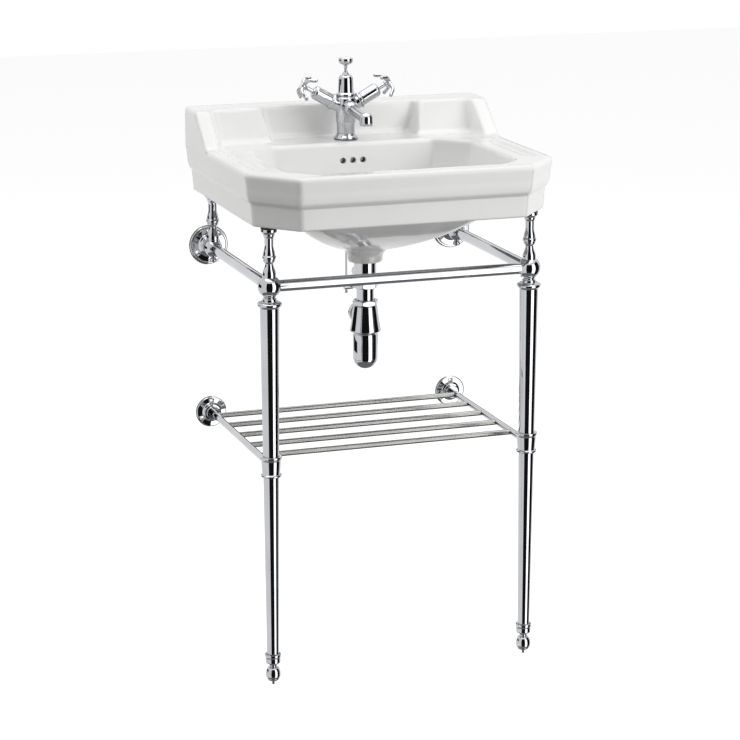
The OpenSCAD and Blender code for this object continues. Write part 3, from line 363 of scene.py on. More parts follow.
def rod(name, radius, a, b, fillet=0.3, bore=0, segments=64):
    a, b = Vector(a), Vector(b)
    length = (b - a).length
    if bore:
        line = [(radius, 0), (radius, length), (bore, length), (bore, 0)]
        return ringPiece(name, line, a, b - a, fillet, segments)
    return lathe(name, eased(lathed([(radius, 0), (radius, length)]), fillet), a, b - a, segments=segments)


def arc(radius, start, end, step=3):
    # radius and height round a ball, in degrees from its equator
    return [(radius * math.cos(a), radius * math.sin(a)) for a in map(math.radians, range(start, end, step))]


def thread(name, radius, depth, pitch, a, b, segments=48):
    # screwed rod: a ridge that climbs one pitch in each turn
    a, b = Vector(a), Vector(b)
    length = (b - a).length
    stepsPerTurn, endTurns, runout = 8, 1.5, 0.6
    steps = int(length / pitch * stepsPerTurn)
    ends = endTurns * pitch

    def ridge(r, h, turn):
        phase = (h / pitch - turn / (2 * math.pi)) % 1
        tooth = abs(phase * 2 - 1)
        fade = min(1, h / ends, (length - h) / ends)
        return r - depth * (1 - tooth) - depth * runout * (1 - max(fade, 0))

    line = [(0, 0)] + [(radius, length * i / steps) for i in range(steps + 1)] + [(0, length)]
    return lathe(name, line, a, b - a, segments=segments, bulge=ridge)


def tubeAlong(name, points, radii, flatten=1.0, segments=20):
    # swept bar with a round nose at each end, for a path that lies in one plane
    points = [Vector(p) for p in points]
    across = None
    for i in range(1, len(points) - 1):
        across = (points[i] - points[i - 1]).cross(points[i + 1] - points[i])
        if across.length > tiny:
            break
    across.normalize()
    verts, rings = [], []
    noses = 5
    last = len(points) - 1

    def ringAt(p, along, r):
        up = across.cross(along).normalized()
        rings.append(list(range(len(verts), len(verts) + segments)))
        for k in range(segments):
            turn = 2 * math.pi * k / segments
            verts.append(p + across * (math.cos(turn) * r * flatten) + up * (math.sin(turn) * r))

    angles = [math.pi / 2 * (k + 0.5) / noses for k in range(noses)]
    along = (points[1] - points[0]).normalized()
    for angle in angles:
        ringAt(points[0] - along * radii[0] * math.cos(angle), along, radii[0] * math.sin(angle))
    for i, p in enumerate(points):
        ringAt(p, (points[min(i + 1, last)] - points[max(i - 1, 0)]).normalized(), radii[i])
    along = (points[last] - points[last - 1]).normalized()
    for angle in angles:
        ringAt(points[last] + along * radii[last] * math.sin(angle), along, radii[last] * math.cos(angle))
    faces = [tuple(rings[0]), tuple(reversed(rings[-1]))]
    for a, b in zip(rings, rings[1:]):
        faces += [(a[k], a[(k + 1) % segments], b[(k + 1) % segments], b[k]) for k in range(segments)]
    return newPiece(name, verts, faces)


def bezier(a, b, c, d, steps):
    a, b, c, d = Vector(a), Vector(b), Vector(c), Vector(d)
    return [a * (1 - t) ** 3 + b * 3 * t * (1 - t) ** 2 + c * 3 * t * t * (1 - t) + d * t ** 3
            for t in (i / steps for i in range(steps + 1))]


def loft(name, rings):
    # closed solid through rings of equal counts, listed upwards
    n = len(rings[0])
    verts = [p for ring in rings for p in ring]
    faces = [tuple(reversed(range(n))), tuple(range((len(rings) - 1) * n, len(rings) * n))]
    for i in range(len(rings) - 1):
        for j in range(n):
            k = (j + 1) % n
            faces.append((i * n + j, i * n + k, (i + 1) * n + k, (i + 1) * n + j))
    return newPiece(name, verts, faces)


# basin

basin = dict(
    cornerW=69, cornerD=81, skirtH=40, bandStep=8, stepH=26, draft=3, clay=13, rimR=8, backCut=5, frontCut=5,
    skirtLip=4, skirtFillet=2, ceilingCove=6, wingT=26, wingTop=70, wingFoot=140, wingLean=14,
    panelTop=54, panelFoot=88, centreDepth=45, centreFoot=141, centreTop=156, returnW=9, splashEdge=6, cove=9,
    foldShares=(1, 1, 1, 1, 2.4, 1.2, 1.4, 1.4, 1.2, 2.4, 1, 1), sideDeck=73, frontDeck=38, backDeck=128,
    bowlH=170, bowlT=12, bowlCutBack=52, bowlCutFront=38, bowlCorner=16, bowlSweep=55, bowlSteps=30, lip=7,
    wasteFlat=38, bossTop=40, bossH=36, bossBore=23, recessR=28, recessH=8, flangeR=33, flangeH=4.5,
    flangeDraft=0.6, holeD=10, holePitch=19, holeDrop=33, ductW=70, ductT=14, ductSkin=5, ductFill=14,
    ductTop=18, glazeIn=1.5, holeStart=0.2, soapW=28, soapL=216, soapDrop=4, soapFront=95, seatR=19, seatH=26,
    seatSink=6, tapHole=35, bandGap=0.5, underCut=5, over=2, voxel=2.0, passes=3, cornerSteps=9, edgeSteps=8,
    turnSteps=16, seatSteps=24, soapSteps=12, bandSteps=12, rimSteps=10,
    bossRows=[(0.72, 0, "hollow"), (0.79, 0.06), (0.8, 0.3, "ogee"), (1, 0.72), (1, 1)],
    holeFlare=[(3.2, -8), (1.1, -0.6), (0.35, 0.6), (0, 2)],  # widening of a mouth against depth
    tapHoleFlare=[(0, -0.8), (0.8, 0), (1, 3)],
)


def shrunk(points, insets):
    # moves each edge of an anticlockwise outline inwards by its own distance
    moved = []
    n = len(points)
    for i, p in enumerate(points):
        a, b = points[i - 1], points[(i + 1) % n]
        m = Vector((-(p - a).y, (p - a).x)).normalized()
        k = Vector((-(b - p).y, (b - p).x)).normalized()
        d, e = insets[i - 1], insets[i]
        det = m.x * k.y - m.y * k.x
        moved.append(p + Vector((d * k.y - e * m.y, e * m.x - d * k.x)) / det)
    return moved


def roundedPlan(points, cuts, steps):
    ring = []
    n = len(points)
    for i, p in enumerate(points):
        a = (points[i - 1] - p).normalized()
        b = (points[(i + 1) % n] - p).normalized()
        for k in range(steps + 1):
            s = k / steps
            ring.append(p + (a * (1 - s) ** 2 + b * s ** 2) * cuts[i])
    return ring


def atHeight(plan, z):
    return [Vector((p.x, p.y, z)) for p in plan]


def mix(a, b, t):
    return a + (b - a) * t


def quarterSteps(steps):
    return [math.radians(90 * i / steps) for i in range(steps + 1)]


def basinRing(inset, backIn, z):
    b = basin
    cutX, cutY = halfW - b["cornerW"], frontY + b["cornerD"]
    corners = [(halfW, backY), (-halfW, backY), (-halfW, cutY),
               (-cutX, frontY), (cutX, frontY), (halfW, cutY)]
    plan = shrunk([Vector(c) for c in corners], [backIn] + [inset] * 5)
    cuts = [b["backCut"]] * 2 + [b["frontCut"]] * 4
    return atHeight(roundedPlan(plan, cuts, b["cornerSteps"]), z)


def makeSeat(side, y):
    # solid seat over a pad, run out into the apron's side
    b = basin
    edge = side * halfW
    steps = b["seatSteps"]
    rings = []
    for r, up in ((b["seatR"], -b["seatSink"]), (b["seatR"], b["seatH"] / 2), (b["seatR"] / 2, b["seatH"])):
        ring = [Vector((side * (legX - r * math.cos(t)), y + r * math.sin(t), seatZ + up))
                for t in (math.pi * (k / steps - 0.5) for k in range(steps + 1))]
        rings.append(ring + [Vector((edge, y + r, seatZ + up)), Vector((edge, y - r, seatZ + up))])
    return loft("seat", rings)


def makeApron():
    b = basin
    draft, step, rim, wall, cove = b["draft"], b["bandStep"], b["rimR"], b["clay"], b["ceilingCove"]
    bandZ = seatZ + b["skirtH"]
    skirtIn = step + 2 * draft
    skirt = [(skirtIn + b["skirtLip"], seatZ), (skirtIn, seatZ), (step + draft, bandZ - b["bandGap"])]
    profile = eased(skirt, b["skirtFillet"])
    profile += [Vector((draft + step * (1 - math.sin(a)), bandZ + b["stepH"] * (1 - math.cos(a))))
                for a in quarterSteps(b["bandSteps"])]
    profile += [Vector((rim * (1 - math.cos(a)), rimZ - rim * (1 - math.sin(a))))
                for a in quarterSteps(b["rimSteps"])]
    apron = loft("basinCasting", [basinRing(p.x, 0, p.y) for p in profile])
    inside = [(skirtIn + wall, seatZ - b["underCut"]), (skirtIn + wall, seatZ), (step + draft + wall, bandZ),
              (draft + wall, bandZ + b["stepH"]), (wall, rimZ - wall - cove), (wall + cove, rimZ - wall)]
    hollow = loft("underside", [basinRing(inset, wall, z) for inset, z in inside])
    cut(hollow, *[makeSeat(side, y) for side in (-1, 1) for y in (legY, rearY)])
    return cut(apron, hollow)


def splashRing(t, inset, grow, z):
    b = basin
    wing = backY - mix(b["wingFoot"], b["wingTop"], t)
    panel = backY - mix(b["panelFoot"], b["panelTop"], t)
    fold = mix(b["centreFoot"], b["centreTop"], t)
    left = [(-halfW, backY), (-halfW, wing), (-halfW + b["wingT"], wing),
            (-halfW + b["wingT"] + b["wingLean"], panel), (-fold, panel),
            (-fold + b["returnW"], backY - b["centreDepth"])]
    plan = [(halfW, backY)] + left + [(-x, y) for x, y in left[:0:-1]]
    insets = [0, inset] + [inset - grow] * 9 + [inset]
    cuts = [b["backCut"] * share for share in b["foldShares"]]
    return atHeight(roundedPlan(shrunk([Vector(p) for p in plan], insets), cuts, b["cornerSteps"]), z)


def makeSplashback():
    b = basin
    tall = splashZ - rimZ
    rings = [splashRing(0, 0, 0, rimZ - b["rimR"] - 1)]
    for a in quarterSteps(b["edgeSteps"]):
        z = rimZ + b["cove"] * (1 - math.cos(a))
        rings.append(splashRing((z - rimZ) / tall, 0, b["cove"] * (1 - math.sin(a)), z))
    for a in quarterSteps(b["edgeSteps"]):
        z = splashZ - b["splashEdge"] * (1 - math.sin(a))
        rings.append(splashRing((z - rimZ) / tall, b["splashEdge"] * (1 - math.cos(a)), 0, z))
    return loft("splashback", rings)


def bowlRing(grow, flat, t, z):
    b = basin
    front, back = frontY + b["frontDeck"], backY - b["backDeck"]
    half = halfW - b["sideDeck"]
    right = [(half - b["bowlCutFront"], front), (half, front + b["bowlCutFront"]),
             (half, back - b["bowlCutBack"]), (half - b["bowlCutBack"], back)]
    plan = [Vector(p) for p in right] + [Vector((-x, y)) for x, y in right[::-1]]
    corners = [b["bowlCorner"]] * 2 + [b["bowlCorner"] / 2] * 4 + [b["bowlCorner"]] * 2
    opening = roundedPlan(shrunk(plan, [-grow] * 8), corners, b["cornerSteps"])
    middle, hub = Vector((0, (front + back) / 2)), Vector((0, wasteY))
    return atHeight([mix(p, hub + (p - middle).normalized() * flat, t) for p in opening], z)


def makeBowl(name, grow, flat, depth):
    # an arc from the rim to the waste, cut short so that the floor slopes
    lip, sweep, steps = basin["lip"], math.radians(basin["bowlSweep"]), basin["bowlSteps"]
    rings = []
    for k in range(steps, -1, -1):
        a = sweep * k / steps
        drop = (depth - lip) * math.sin(a) / math.sin(sweep)
        rings.append(bowlRing(grow, flat, (1 - math.cos(a)) / (1 - math.cos(sweep)), rimZ - lip - drop))
    return loft(name, rings + [bowlRing(grow, flat, 0, rimZ - lip + 1)])


def makeBowlMouth():
    b = basin
    lip, flat = b["lip"], b["wasteFlat"]
    rings = [bowlRing(lip * (1 - math.cos(a)), flat, 0, rimZ - lip * (1 - math.sin(a)))
             for a in quarterSteps(b["edgeSteps"])]
    return loft("bowlMouth", rings + [bowlRing(lip, flat, 0, rimZ + b["over"])])


def makeDuct(name, grow):
    # overflow passage behind the bowl, down to the outlet boss
    b = basin
    bowlBack = backY - b["backDeck"]
    stops = [(b["ductW"] / 2, b["ductT"] / 2, b["holeDrop"] - b["holeD"]),
             (b["ductW"] / 2, b["ductT"] / 2, b["holeDrop"] + 2 * b["holeD"]),
             (b["ductW"] / 2, b["ductT"] / 4, b["bowlH"] * 3 / 5),
             (b["ductW"] / 4, -b["ductT"] * 2 / 3, b["bowlH"]),
             (b["ductW"] / 6, wasteY + b["bossBore"] - bowlBack, b["bowlH"] + b["bossH"] / 2)]
    thick = b["ductT"] / 4 + grow
    rings = []
    for wide, behind, drop in stops[::-1]:
        x, y, z = wide + grow, bowlBack + behind, rimZ - drop
        if rings == []:
            z -= thick
        elif drop == stops[0][2]:
            z += thick
        near = thick + (b["ductFill"] if grow and drop == b["bowlH"] else 0)
        rings.append([Vector((-x, y - near, z)), Vector((x, y - near, z)),
                      Vector((x, y + thick, z)), Vector((-x, y + thick, z))])
    return loft(name, rings)


def makeSoapRecess(side):
    b = basin
    half, steps, turns = b["soapW"] / 2, b["soapSteps"], b["turnSteps"]
    start = frontY + b["soapFront"]
    middle = side * ((halfW - b["sideDeck"] + b["lip"]) + halfW) / 2
    rows = [(half + 1, rimZ + 1)]
    for k in range(steps, -1, -1):
        sink = b["soapDrop"] * (0.5 + 0.5 * math.cos(math.pi * k / steps))
        rows.append((half * (0.25 + 0.75 * k / steps), rimZ - sink))
    rings = []
    for r, z in reversed(rows):
        ring = []
        for y, turn in ((start + b["soapL"] - half, 0), (start + half, math.pi)):
            ring += [Vector((middle + r * math.cos(t), y + r * math.sin(t), z))
                     for t in (turn + math.pi * k / turns for k in range(turns + 1))]
        rings.append(ring)
    return loft("soapRecess", rings)


def makeBasin():
    b = basin
    over = b["over"]
    body = join(makeApron(), makeSplashback())
    outer = makeBowl("bowlOuter", b["bowlT"], b["wasteFlat"] + b["bowlT"] / 3, b["bowlH"] + b["bowlT"])
    boss = lathed(outline(b["bossRows"], b["bossTop"], b["bossH"]))
    join(body, outer, makeDuct("ductSkin", b["ductSkin"]), lathe("boss", boss, (0, wasteY, bossZ)))
    cut(body, makeBowl("bowlInner", 0, b["wasteFlat"], b["bowlH"]), makeBowlMouth(), makeDuct("duct", 0))
    cut(body, makeSoapRecess(-1), makeSoapRecess(1))
    bowlFloor = rimZ - b["bowlH"]
    recess = [(b["flangeR"], bowlFloor - b["flangeH"]),
              (b["flangeR"] + b["flangeDraft"], bowlFloor + 1.5 * over)]
    cut(body, lathe("flangeRecess", lathed(recess), (0, wasteY, 0)))
    melt(body, b["voxel"], b["passes"])
    # holes are cut after the skin is laid, so that they stay crisp; each mouth flares a little
    holeR, tapR = b["holeD"] / 2, b["tapHole"] / 2
    mouth = [(holeR + wider, deep) for wider, deep in b["holeFlare"]]
    mouth.append((holeR, b["clay"] + b["ductT"] / 2 - 1))
    for i in (-1, 0, 1):
        at = (i * b["holePitch"], backY - b["backDeck"] - b["holeStart"], rimZ - b["holeDrop"])
        cut(body, lathe("overflow", lathed(mouth), at, (0, 1, 0), segments=48))
    hole = [(tapR, -2 * b["clay"])] + [(tapR + wider, high) for wider, high in b["tapHoleFlare"]]
    cut(body, lathe("tapHole", lathed(hole), (0, tapY, rimZ), segments=64))
    bore = [(b["recessR"], -over), (b["recessR"], b["recessH"]),
            (b["bossBore"], b["recessH"]), (b["bossBore"], b["bossH"] + 5 * over)]
    cut(body, lathe("wasteBore", lathed(bore), (0, wasteY, bossZ)))
    return body


def bareDuctWithShade(piece):
    # the glaze stops at the overflow holes, and the passage behind them is bare clay, coloured dark as
    # painted shade for the inside of the passage
    b = basin
    piece.data.materials.append(clayPaintedShade)
    near = backY - b["backDeck"] + b["glazeIn"]
    low, high = rimZ - b["holeDrop"] - 3 * b["holeD"], rimZ - b["ductTop"]
    for face in piece.data.polygons:
        x, y, z = face.center / mm
        if abs(x) < b["ductW"] / 2 + 1 and near < y < near + b["ductT"] and low < z < high:
            face.material_index = 1


basinPiece = place(makeBasin(), glaze, "vitreous_china", "root", "basin")
bareDuctWithShade(basinPiece)
print("basin done", len(basinPiece.data.polygons), "faces")


# stand

leg = dict(topR=16.75, footR=10.6)
cornerBall = dict(
    radius=20, cut=16, drop=37,
    rows=[(0.85, 0), (0.87, 0.03), (0.9, 0.05, "hollow"), (1.06, 0.16, "round"), (0.78, 0.28), (0.64, 0.30),
          (0.62, 0.33, "round"), (0.5, 0.46, "ogee"), (0.6, 0.6)],
)
grubScrew = dict(out=14, drop=14.6, rows=[(2.1, 0), (2.1, 0.5), (1.2, 0.6), (1.2, 1.6)])
baluster = dict(
    radius=14,
    rows=[(0.84, 0), (0.84, 0.05, "ogee"), (0.5, 0.28, "ogee"), (0.7, 0.335), (0.74, 0.35), (0.7, 0.365),
          (0.7, 0.375, "hollow"), (0.84, 0.395), (0.86, 0.415), (0.84, 0.435), (0.74, 0.455, "ogee"),
          (0.53, 0.66), (0.54, 0.78, "ogee"), (0.72, 0.895), (0.94, 0.93), (1, 0.945), (1, 1)],
)
foot = dict(
    rim=14.5,
    rows=[(0.24, 0), (0.28, 0.015, "hollow"), (0.78, 0.13, "hollow"), (0.92, 0.26, "round"), (0.4, 0.53),
          (0.44, 0.56), (0.44, 0.59), (0.88, 0.685), (0.91, 0.71), (0.91, 0.845), (0.88, 0.86),
          (0.92, 0.88, "hollow"), (1, 0.985), (1, 1), (0.9, 1), (0.82, 0.93)],
)
pin = dict(radius=2.2, depth=0.35, pitch=0.8, start=1.4, tipRows=[(1.7, 0), (2.2, 0.7), (2.2, 1.6)])
pad = dict(rows=[(13.6, 0), (14, 0.6), (14, 3.2), (13.2, 4)])
rail = dict(bore=8, fillet=0.5)


def makeLeg(side, name):
    low, high = nodeBox(name + "_leg")
    line = eased(lathed([(leg["footR"], low.z), (leg["topR"], high.z)]), fillet=0.4)
    chromed(lathe(name + "LegTube", line, (side * legX, legY, 0), segments=128), name + "_leg")


def makeCornerBall(side, name):
    b, g = cornerBall, grubScrew
    ring = [(r, h - b["drop"]) for r, h in outline(b["rows"], b["radius"], b["drop"])]
    ball = [p for p in arc(b["radius"], -60, 90) if ring[-1][1] + 1 < p[1] < b["cut"]]
    top = (math.sqrt(b["radius"] ** 2 - b["cut"] ** 2), b["cut"])
    line = [(0, -b["drop"])] + ring + ball + [top, (0, b["cut"])]
    at = (side * legX, legY, railZ)
    chromed(lathe(name + "CornerBall", eased(line, fillet=0.5), at, segments=128), name + "_ball")
    # small grub screws under the ball lock the two rails
    for tag, inX, inY in (("Front", g["out"], 0), ("Side", 0, g["out"])):
        screwAt = Vector((side * (legX - inX), legY + inY, railZ)) - Vector((0, 0, g["drop"]))
        screw = lathe(name + tag + "GrubScrew", lathed(g["rows"]), screwAt, segments=24)
        place(screw, steel, "steel_pin", "root")


def makeBaluster(node, name):
    middle = nodeAxis(node)
    low = railZ + cornerBall["cut"]
    tall = nodeBox(node)[1].z - low
    chromed(turnedPiece(name, baluster["rows"], baluster["radius"], tall, (middle.x, middle.y, low)), node)


def makePads():
    low = nodeBox("basin_pads")[0].z
    line = eased(lathed(pad["rows"]), fillet=0.4)
    pads = [lathe("basinPads", line, (side * legX, y, low)) for side in (-1, 1) for y in (legY, rearY)]
    join(*pads).data.shade_smooth()
    place(pads[0], rubber, "rubber", "root", "basin_pads")


def makeFoot(side, name):
    low = nodeBox(name + "_foot")[0].z
    tall = nodeBox(name + "_leg")[0].z - low
    at = (side * legX, legY, low)
    piece = turnedPiece(name + "TurnedFoot", foot["rows"], foot["rim"], tall, at, fillet=0.35)
    chromed(piece, name + "_foot")
    top = nodeBox(name + "_pin")[1].z
    start, end = (side * legX, legY, pin["start"]), (side * legX, legY, top)
    screw = thread(name + "ScrewedPin", pin["radius"], pin["depth"], pin["pitch"], start, end)
    line = eased(lathed(pin["tipRows"]), fillet=0.3)
    tip = lathe(name + "PinTip", line, (side * legX, legY, 0), segments=48)
    place(join(screw, tip), steel, "steel_pin", name + "_level", name + "_pin")


def makeRail(node, name, bore):
    low, high = nodeBox(node)
    size = high - low
    along = max(range(3), key=lambda i: size[i])
    a = (low + high) / 2
    b = a.copy()
    a[along], b[along] = low[along], high[along]
    chromed(rod(name, sorted(size)[1] / 2, a, b, rail["fillet"], bore, 96), node)


for side, name in sides:
    makeLeg(side, name)
    makeCornerBall(side, name)
    makeFoot(side, name)
    makeBaluster("front_" + name + "_baluster", name + "FrontBaluster")
    makeBaluster("rear_" + name + "_baluster", name + "RearBaluster")
makePads()
for name in ("front", "left", "right"):
    makeRail(name + "_rail", name + "TowelRail", rail["bore"])
print("stand done")


# wall fixings of the stand

tee = dict(
    radius=17, top=16, back=12, backR=10.5, backStart=5, finial=20, ballLow=-0.93, neckGap=0.4,
    rows=[(0.06, 0), (0.1, 0.01, "hollow"), (0.42, 0.2, "round"), (0.2, 0.42, "ogee"), (0.45, 0.56),
          (0.47, 0.63), (0.45, 0.7, "ogee"), (0.3, 1)],
)
upperFlange = dict(
    radius=37, depth=21,
    rows=[(1, 0), (1, 0.14, "hollow"), (0.93, 0.25), (0.88, 0.26), (0.86, 0.235), (0.84, 0.25), (0.83, 0.34),
          (0.58, 0.39, "ogee"), (0.45, 0.6), (0.45, 0.66), (0.41, 0.7), (0.4, 0.8), (0.33, 0.82), (0.32, 1)],
)
lowerFlange = dict(
    radius=29.5, depth=18,
    rows=[(1, 0), (1, 0.16, "hollow"), (0.92, 0.29), (0.88, 0.3), (0.62, 0.36, "ogee"), (0.46, 0.62),
          (0.51, 0.65), (0.54, 0.72), (0.52, 0.8), (0.42, 0.85), (0.4, 1)],
)
screwHole = dict(count=3, first=90, share=0.7, rows=[(2.75, -2), (2.75, 4), (5.35, 7.2), (5.35, 20)])


def makeTee(side, name):
    t = tee
    r = t["radius"]
    at = Vector((side * legX, rearY, railZ))
    low = -r - t["finial"] / 2
    finial = [(x, h + low) for x, h in outline(t["rows"], r, t["finial"])]
    neckR = baluster["rows"][0][0] * baluster["radius"]
    ball = [(x, h) for x, h in arc(r, -69, 72)
            if h > t["ballLow"] * r and (h < 0 or x > neckR + t["neckGap"])]
    line = [(0, low)] + finial[:-1] + ball + [(neckR, ball[-1][1] + 1), (neckR, t["top"]), (0, t["top"])]
    piece = lathe(name + "WallTee", eased(line, fillet=0.5), at)
    start, end = (at + Vector((0, y, 0)) for y in (t["backStart"], t["back"]))
    chromed(join(piece, rod("teeBack", t["backR"], start, end, fillet=0.4)), name + "_tee")


def makeFlange(node, name, f):
    middle = nodeAxis(node)
    at = Vector((middle.x, backY, middle.z))
    piece = turnedPiece(name, f["rows"], f["radius"], f["depth"], at, (0, -1, 0), 0.4, 128)
    reach = screwHole["share"] * f["radius"]
    for i in range(screwHole["count"]):
        turn = math.radians(screwHole["first"] + 360 / screwHole["count"] * i)
        spot = at + Vector((-reach * math.cos(turn), 0, reach * math.sin(turn)))
        cut(piece, lathe("sink", lathed(screwHole["rows"]), spot, (0, -1, 0), segments=32))
    piece.data.shade_smooth()
    chromed(piece, node)


for side, name in sides:
    makeTee(side, name)
    makeFlange("upper_" + name + "_flange", name + "UpperFlange", upperFlange)
    makeFlange("lower_" + name + "_flange", name + "LowerFlange", lowerFlange)
print("wall fixings done")


# shelf

collar = dict(
    height=36, radius=17.05, bore=0.25, lug=23, lugR=8.5, lugStart=1.5, lugFlare=1.2,
    screwOut=0.93, screwSeat=2.2,
    rows=[(1.06, 0), (1.08, 0.03), (1.06, 0.07, "ogee"), (0.92, 0.14), (1.02, 0.78, "ogee"),
          (1.1, 0.88), (1.13, 0.92), (1.13, 0.97), (1.1, 1)],
    screwRows=[(1.2, 0.2), (1.2, 1.3), (2.2, 1.4), (2.2, 2.4)],
)


def legRadius(z):
    low, high = nodeBox("right_leg")
    return mix(leg["footR"], leg["topR"], (z - low.z) / (high.z - low.z))


def makeCollar(side, name):
    c = collar
    low = shelfZ - c["height"] / 2
    high = low + c["height"]
    line = [(r, h + low) for r, h in outline(c["rows"], c["radius"], c["height"])]
    line += [(legRadius(high) + c["bore"], high), (legRadius(low) + c["bore"], low)]
    piece = ringPiece(name + "ShelfCollar", line, (side * legX, legY, 0))
    start = Vector((side * legX, legY + c["radius"] - c["lugStart"], shelfZ))
    length = (Vector((side * legX, legY + c["lug"], shelfZ)) - start).length
    lug = [(c["lugR"] + c["lugFlare"], 0), (c["lugR"], 2), (c["lugR"], length - 1), (c["lugR"] - 1, length)]
    join(piece, lathe("lug", eased(lathed(lug), fillet=0.4), start, (0, 1, 0), segments=64))
    piece.data.shade_smooth()
    chromed(piece, name + "_shelf_collar")
    screwAt = (side * (legX + c["radius"] * c["screwOut"] - c["screwSeat"]), legY, shelfZ)
    screw = lathe(name + "CollarScrew", lathed(c["screwRows"]), screwAt, (side, 0, 0), segments=24)
    place(screw, steel, "steel_pin", "root")


for side, name in sides:
    makeCollar(side, name)
    makeRail(name + "_shelf_rail", name + "ShelfRail", 0)
print("shelf done")


# tap

tap = dict(
    bodyR=18, skirtTop=11, bodyTop=79, tailR=14.4, gasketT=1.5, skirtR=21, skirtBore=14.55,
    armZ=55, armRise=29, armRoot=28, armRootR=13, rootInset=0.5, rootStart=2, rootBead=8,
    voxel=0.62, passes=5,
    skirtRows=[(1, 0), (1.0, 0.12), (0.985, 0.16, "ogee"), (0.81, 0.8), (0.8, 0.86), (0.78, 0.88), (0.78, 1)],
    bodyRows=[(0.88, 0), (0.9, 0.02, "round"), (1, 0.3), (1.01, 0.66, "ogee"), (1.06, 0.8),
              (1.06, 0.83, "round"), (0.87, 0.97), (0.86, 1)],
)
spout = dict(
    z=62, fall=6, radius=8.6, start=14, reach=114, rootR=13, rootLen=36, bodySwell=1.06, bodyGap=0.15,
    clearH=120, outletR=12, outletZ=40, outletCap=5, bore=[(10.9, -3), (10.6, 7)],
    rootRows=[(0.96, 0, "hollow"), (1.02, 0.35, "round"), (0.66, 1)],
    outletRows=[(0.95, 0), (0.97, 0.04), (1, 0.14), (1, 0.58, "round"), (0.12, 1)],
)
outletDisc = dict(
    rows=[(9.0, 0.9), (9.4, 0), (10.2, 0), (10.4, 0.5), (10.4, 6.8)],
    knurls=40, knurlDepth=0.12, knurlR=10.1, knurlTop=1,
    jets=((6.2, 6, 1.5), (3.1, 3, 0.8)), jetDepth=9,  # each circle's radius, count and bore
)
handle = dict(
    out=91, hubR=7.5, hubLen=12, prongs=4, prongWidth=1.15, prongR=3.5, prongTaper=0.6, voxel=0.42, passes=4,
    hubRows=[(0.62, 0), (0.7, 0.04), (0.75, 0.1, "ogee"), (0.68, 0.28, "ogee"), (0.98, 0.52), (1, 0.6),
             (1, 0.76, "round"), (0.86, 1), (0.8, 1), (0.78, 0.94)],
    curl=((4, 8), (11, 9.4), (18.5, 8.6), (21.3, 3.4)), curlSteps=12,
    flick=((21.3, 3.4), (22.8, 0.6), (24.2, -1.4), (26.3, -3.2)), flickR=[2.9, 2.9, 3.0, 3.15, 3.3, 3.4, 3.2],
    buttonR=5.6, buttonH=2.0, buttonSink=1, buttonRows=[(1, 0), (1, 0.3, "round"), (0.1, 1)],
)
valve = dict(
    radius=15, height=44, bore=4.2, tailR=9, tailLen=11.8, gap=0.1,
    rows=[(0.92, 0), (1, 0.02), (1, 0.085), (0.94, 0.1), (0.8, 0.14), (0.84, 0.18), (0.84, 0.84, "round"),
          (0.52, 0.965), (0.44, 0.97), (0.36, 1)],
    spindleRows=[(4, 16.2), (4, 84.2), (3.6, 84.6), (3.6, 90.9)],
)
centre = dict(
    radius=17, height=45, bore=2.2,
    rows=[(0.94, 0), (1, 0.02), (1, 0.085), (0.94, 0.1), (0.82, 0.14), (0.82, 0.2), (0.76, 0.66, "round"),
          (0.44, 0.835), (0.44, 0.85), (0.38, 0.86), (0.3, 0.93, "hollow"), (0.2, 0.975), (0.2, 1)],
)
knob = dict(
    radius=12.6, dish=0.95, chinaR=10.4,
    rows=[(0.19, 0), (0.2, 0.12, "round"), (0.42, 0.46), (0.62, 0.53, "hollow"), (0.99, 0.74), (1.02, 0.8),
          (1.02, 0.9), (0.99, 0.98), (0.96, 1), (0.9, 1), (0.84, 0.94)],
    chinaRows=[(1, 0), (1, 0.3), (0.84, 0.34), (0.83, 0.4, "round"), (0.06, 0.95)],
)
armCentre = Vector((0, tapY, rimZ + tap["armZ"]))


def armAxis(side):
    rise = math.radians(tap["armRise"])
    return Vector((side * math.cos(rise), 0, math.sin(rise)))


def makeTapBody():
    t = tap
    tall = t["bodyTop"] - t["skirtTop"]
    vase = [(r, h + rimZ + t["skirtTop"]) for r, h in outline(t["bodyRows"], t["bodyR"], tall)]
    tail = [(t["tailR"], nodeBox("tap_body")[0].z), (t["tailR"], rimZ + t["skirtTop"])]
    body = lathe("tapBodyCasting", lathed(tail + vase), (0, tapY, 0))
    inner = t["armRootR"] - t["rootInset"]
    root = [(inner, t["rootStart"]), (inner, t["armRoot"] - t["rootBead"]), (t["armRootR"], t["armRoot"])]
    for side in (-1, 1):
        join(body, lathe("armRoot", lathed(root), armCentre, armAxis(side), segments=64))
    chromed(melt(body, t["voxel"], t["passes"]), "tap_body")


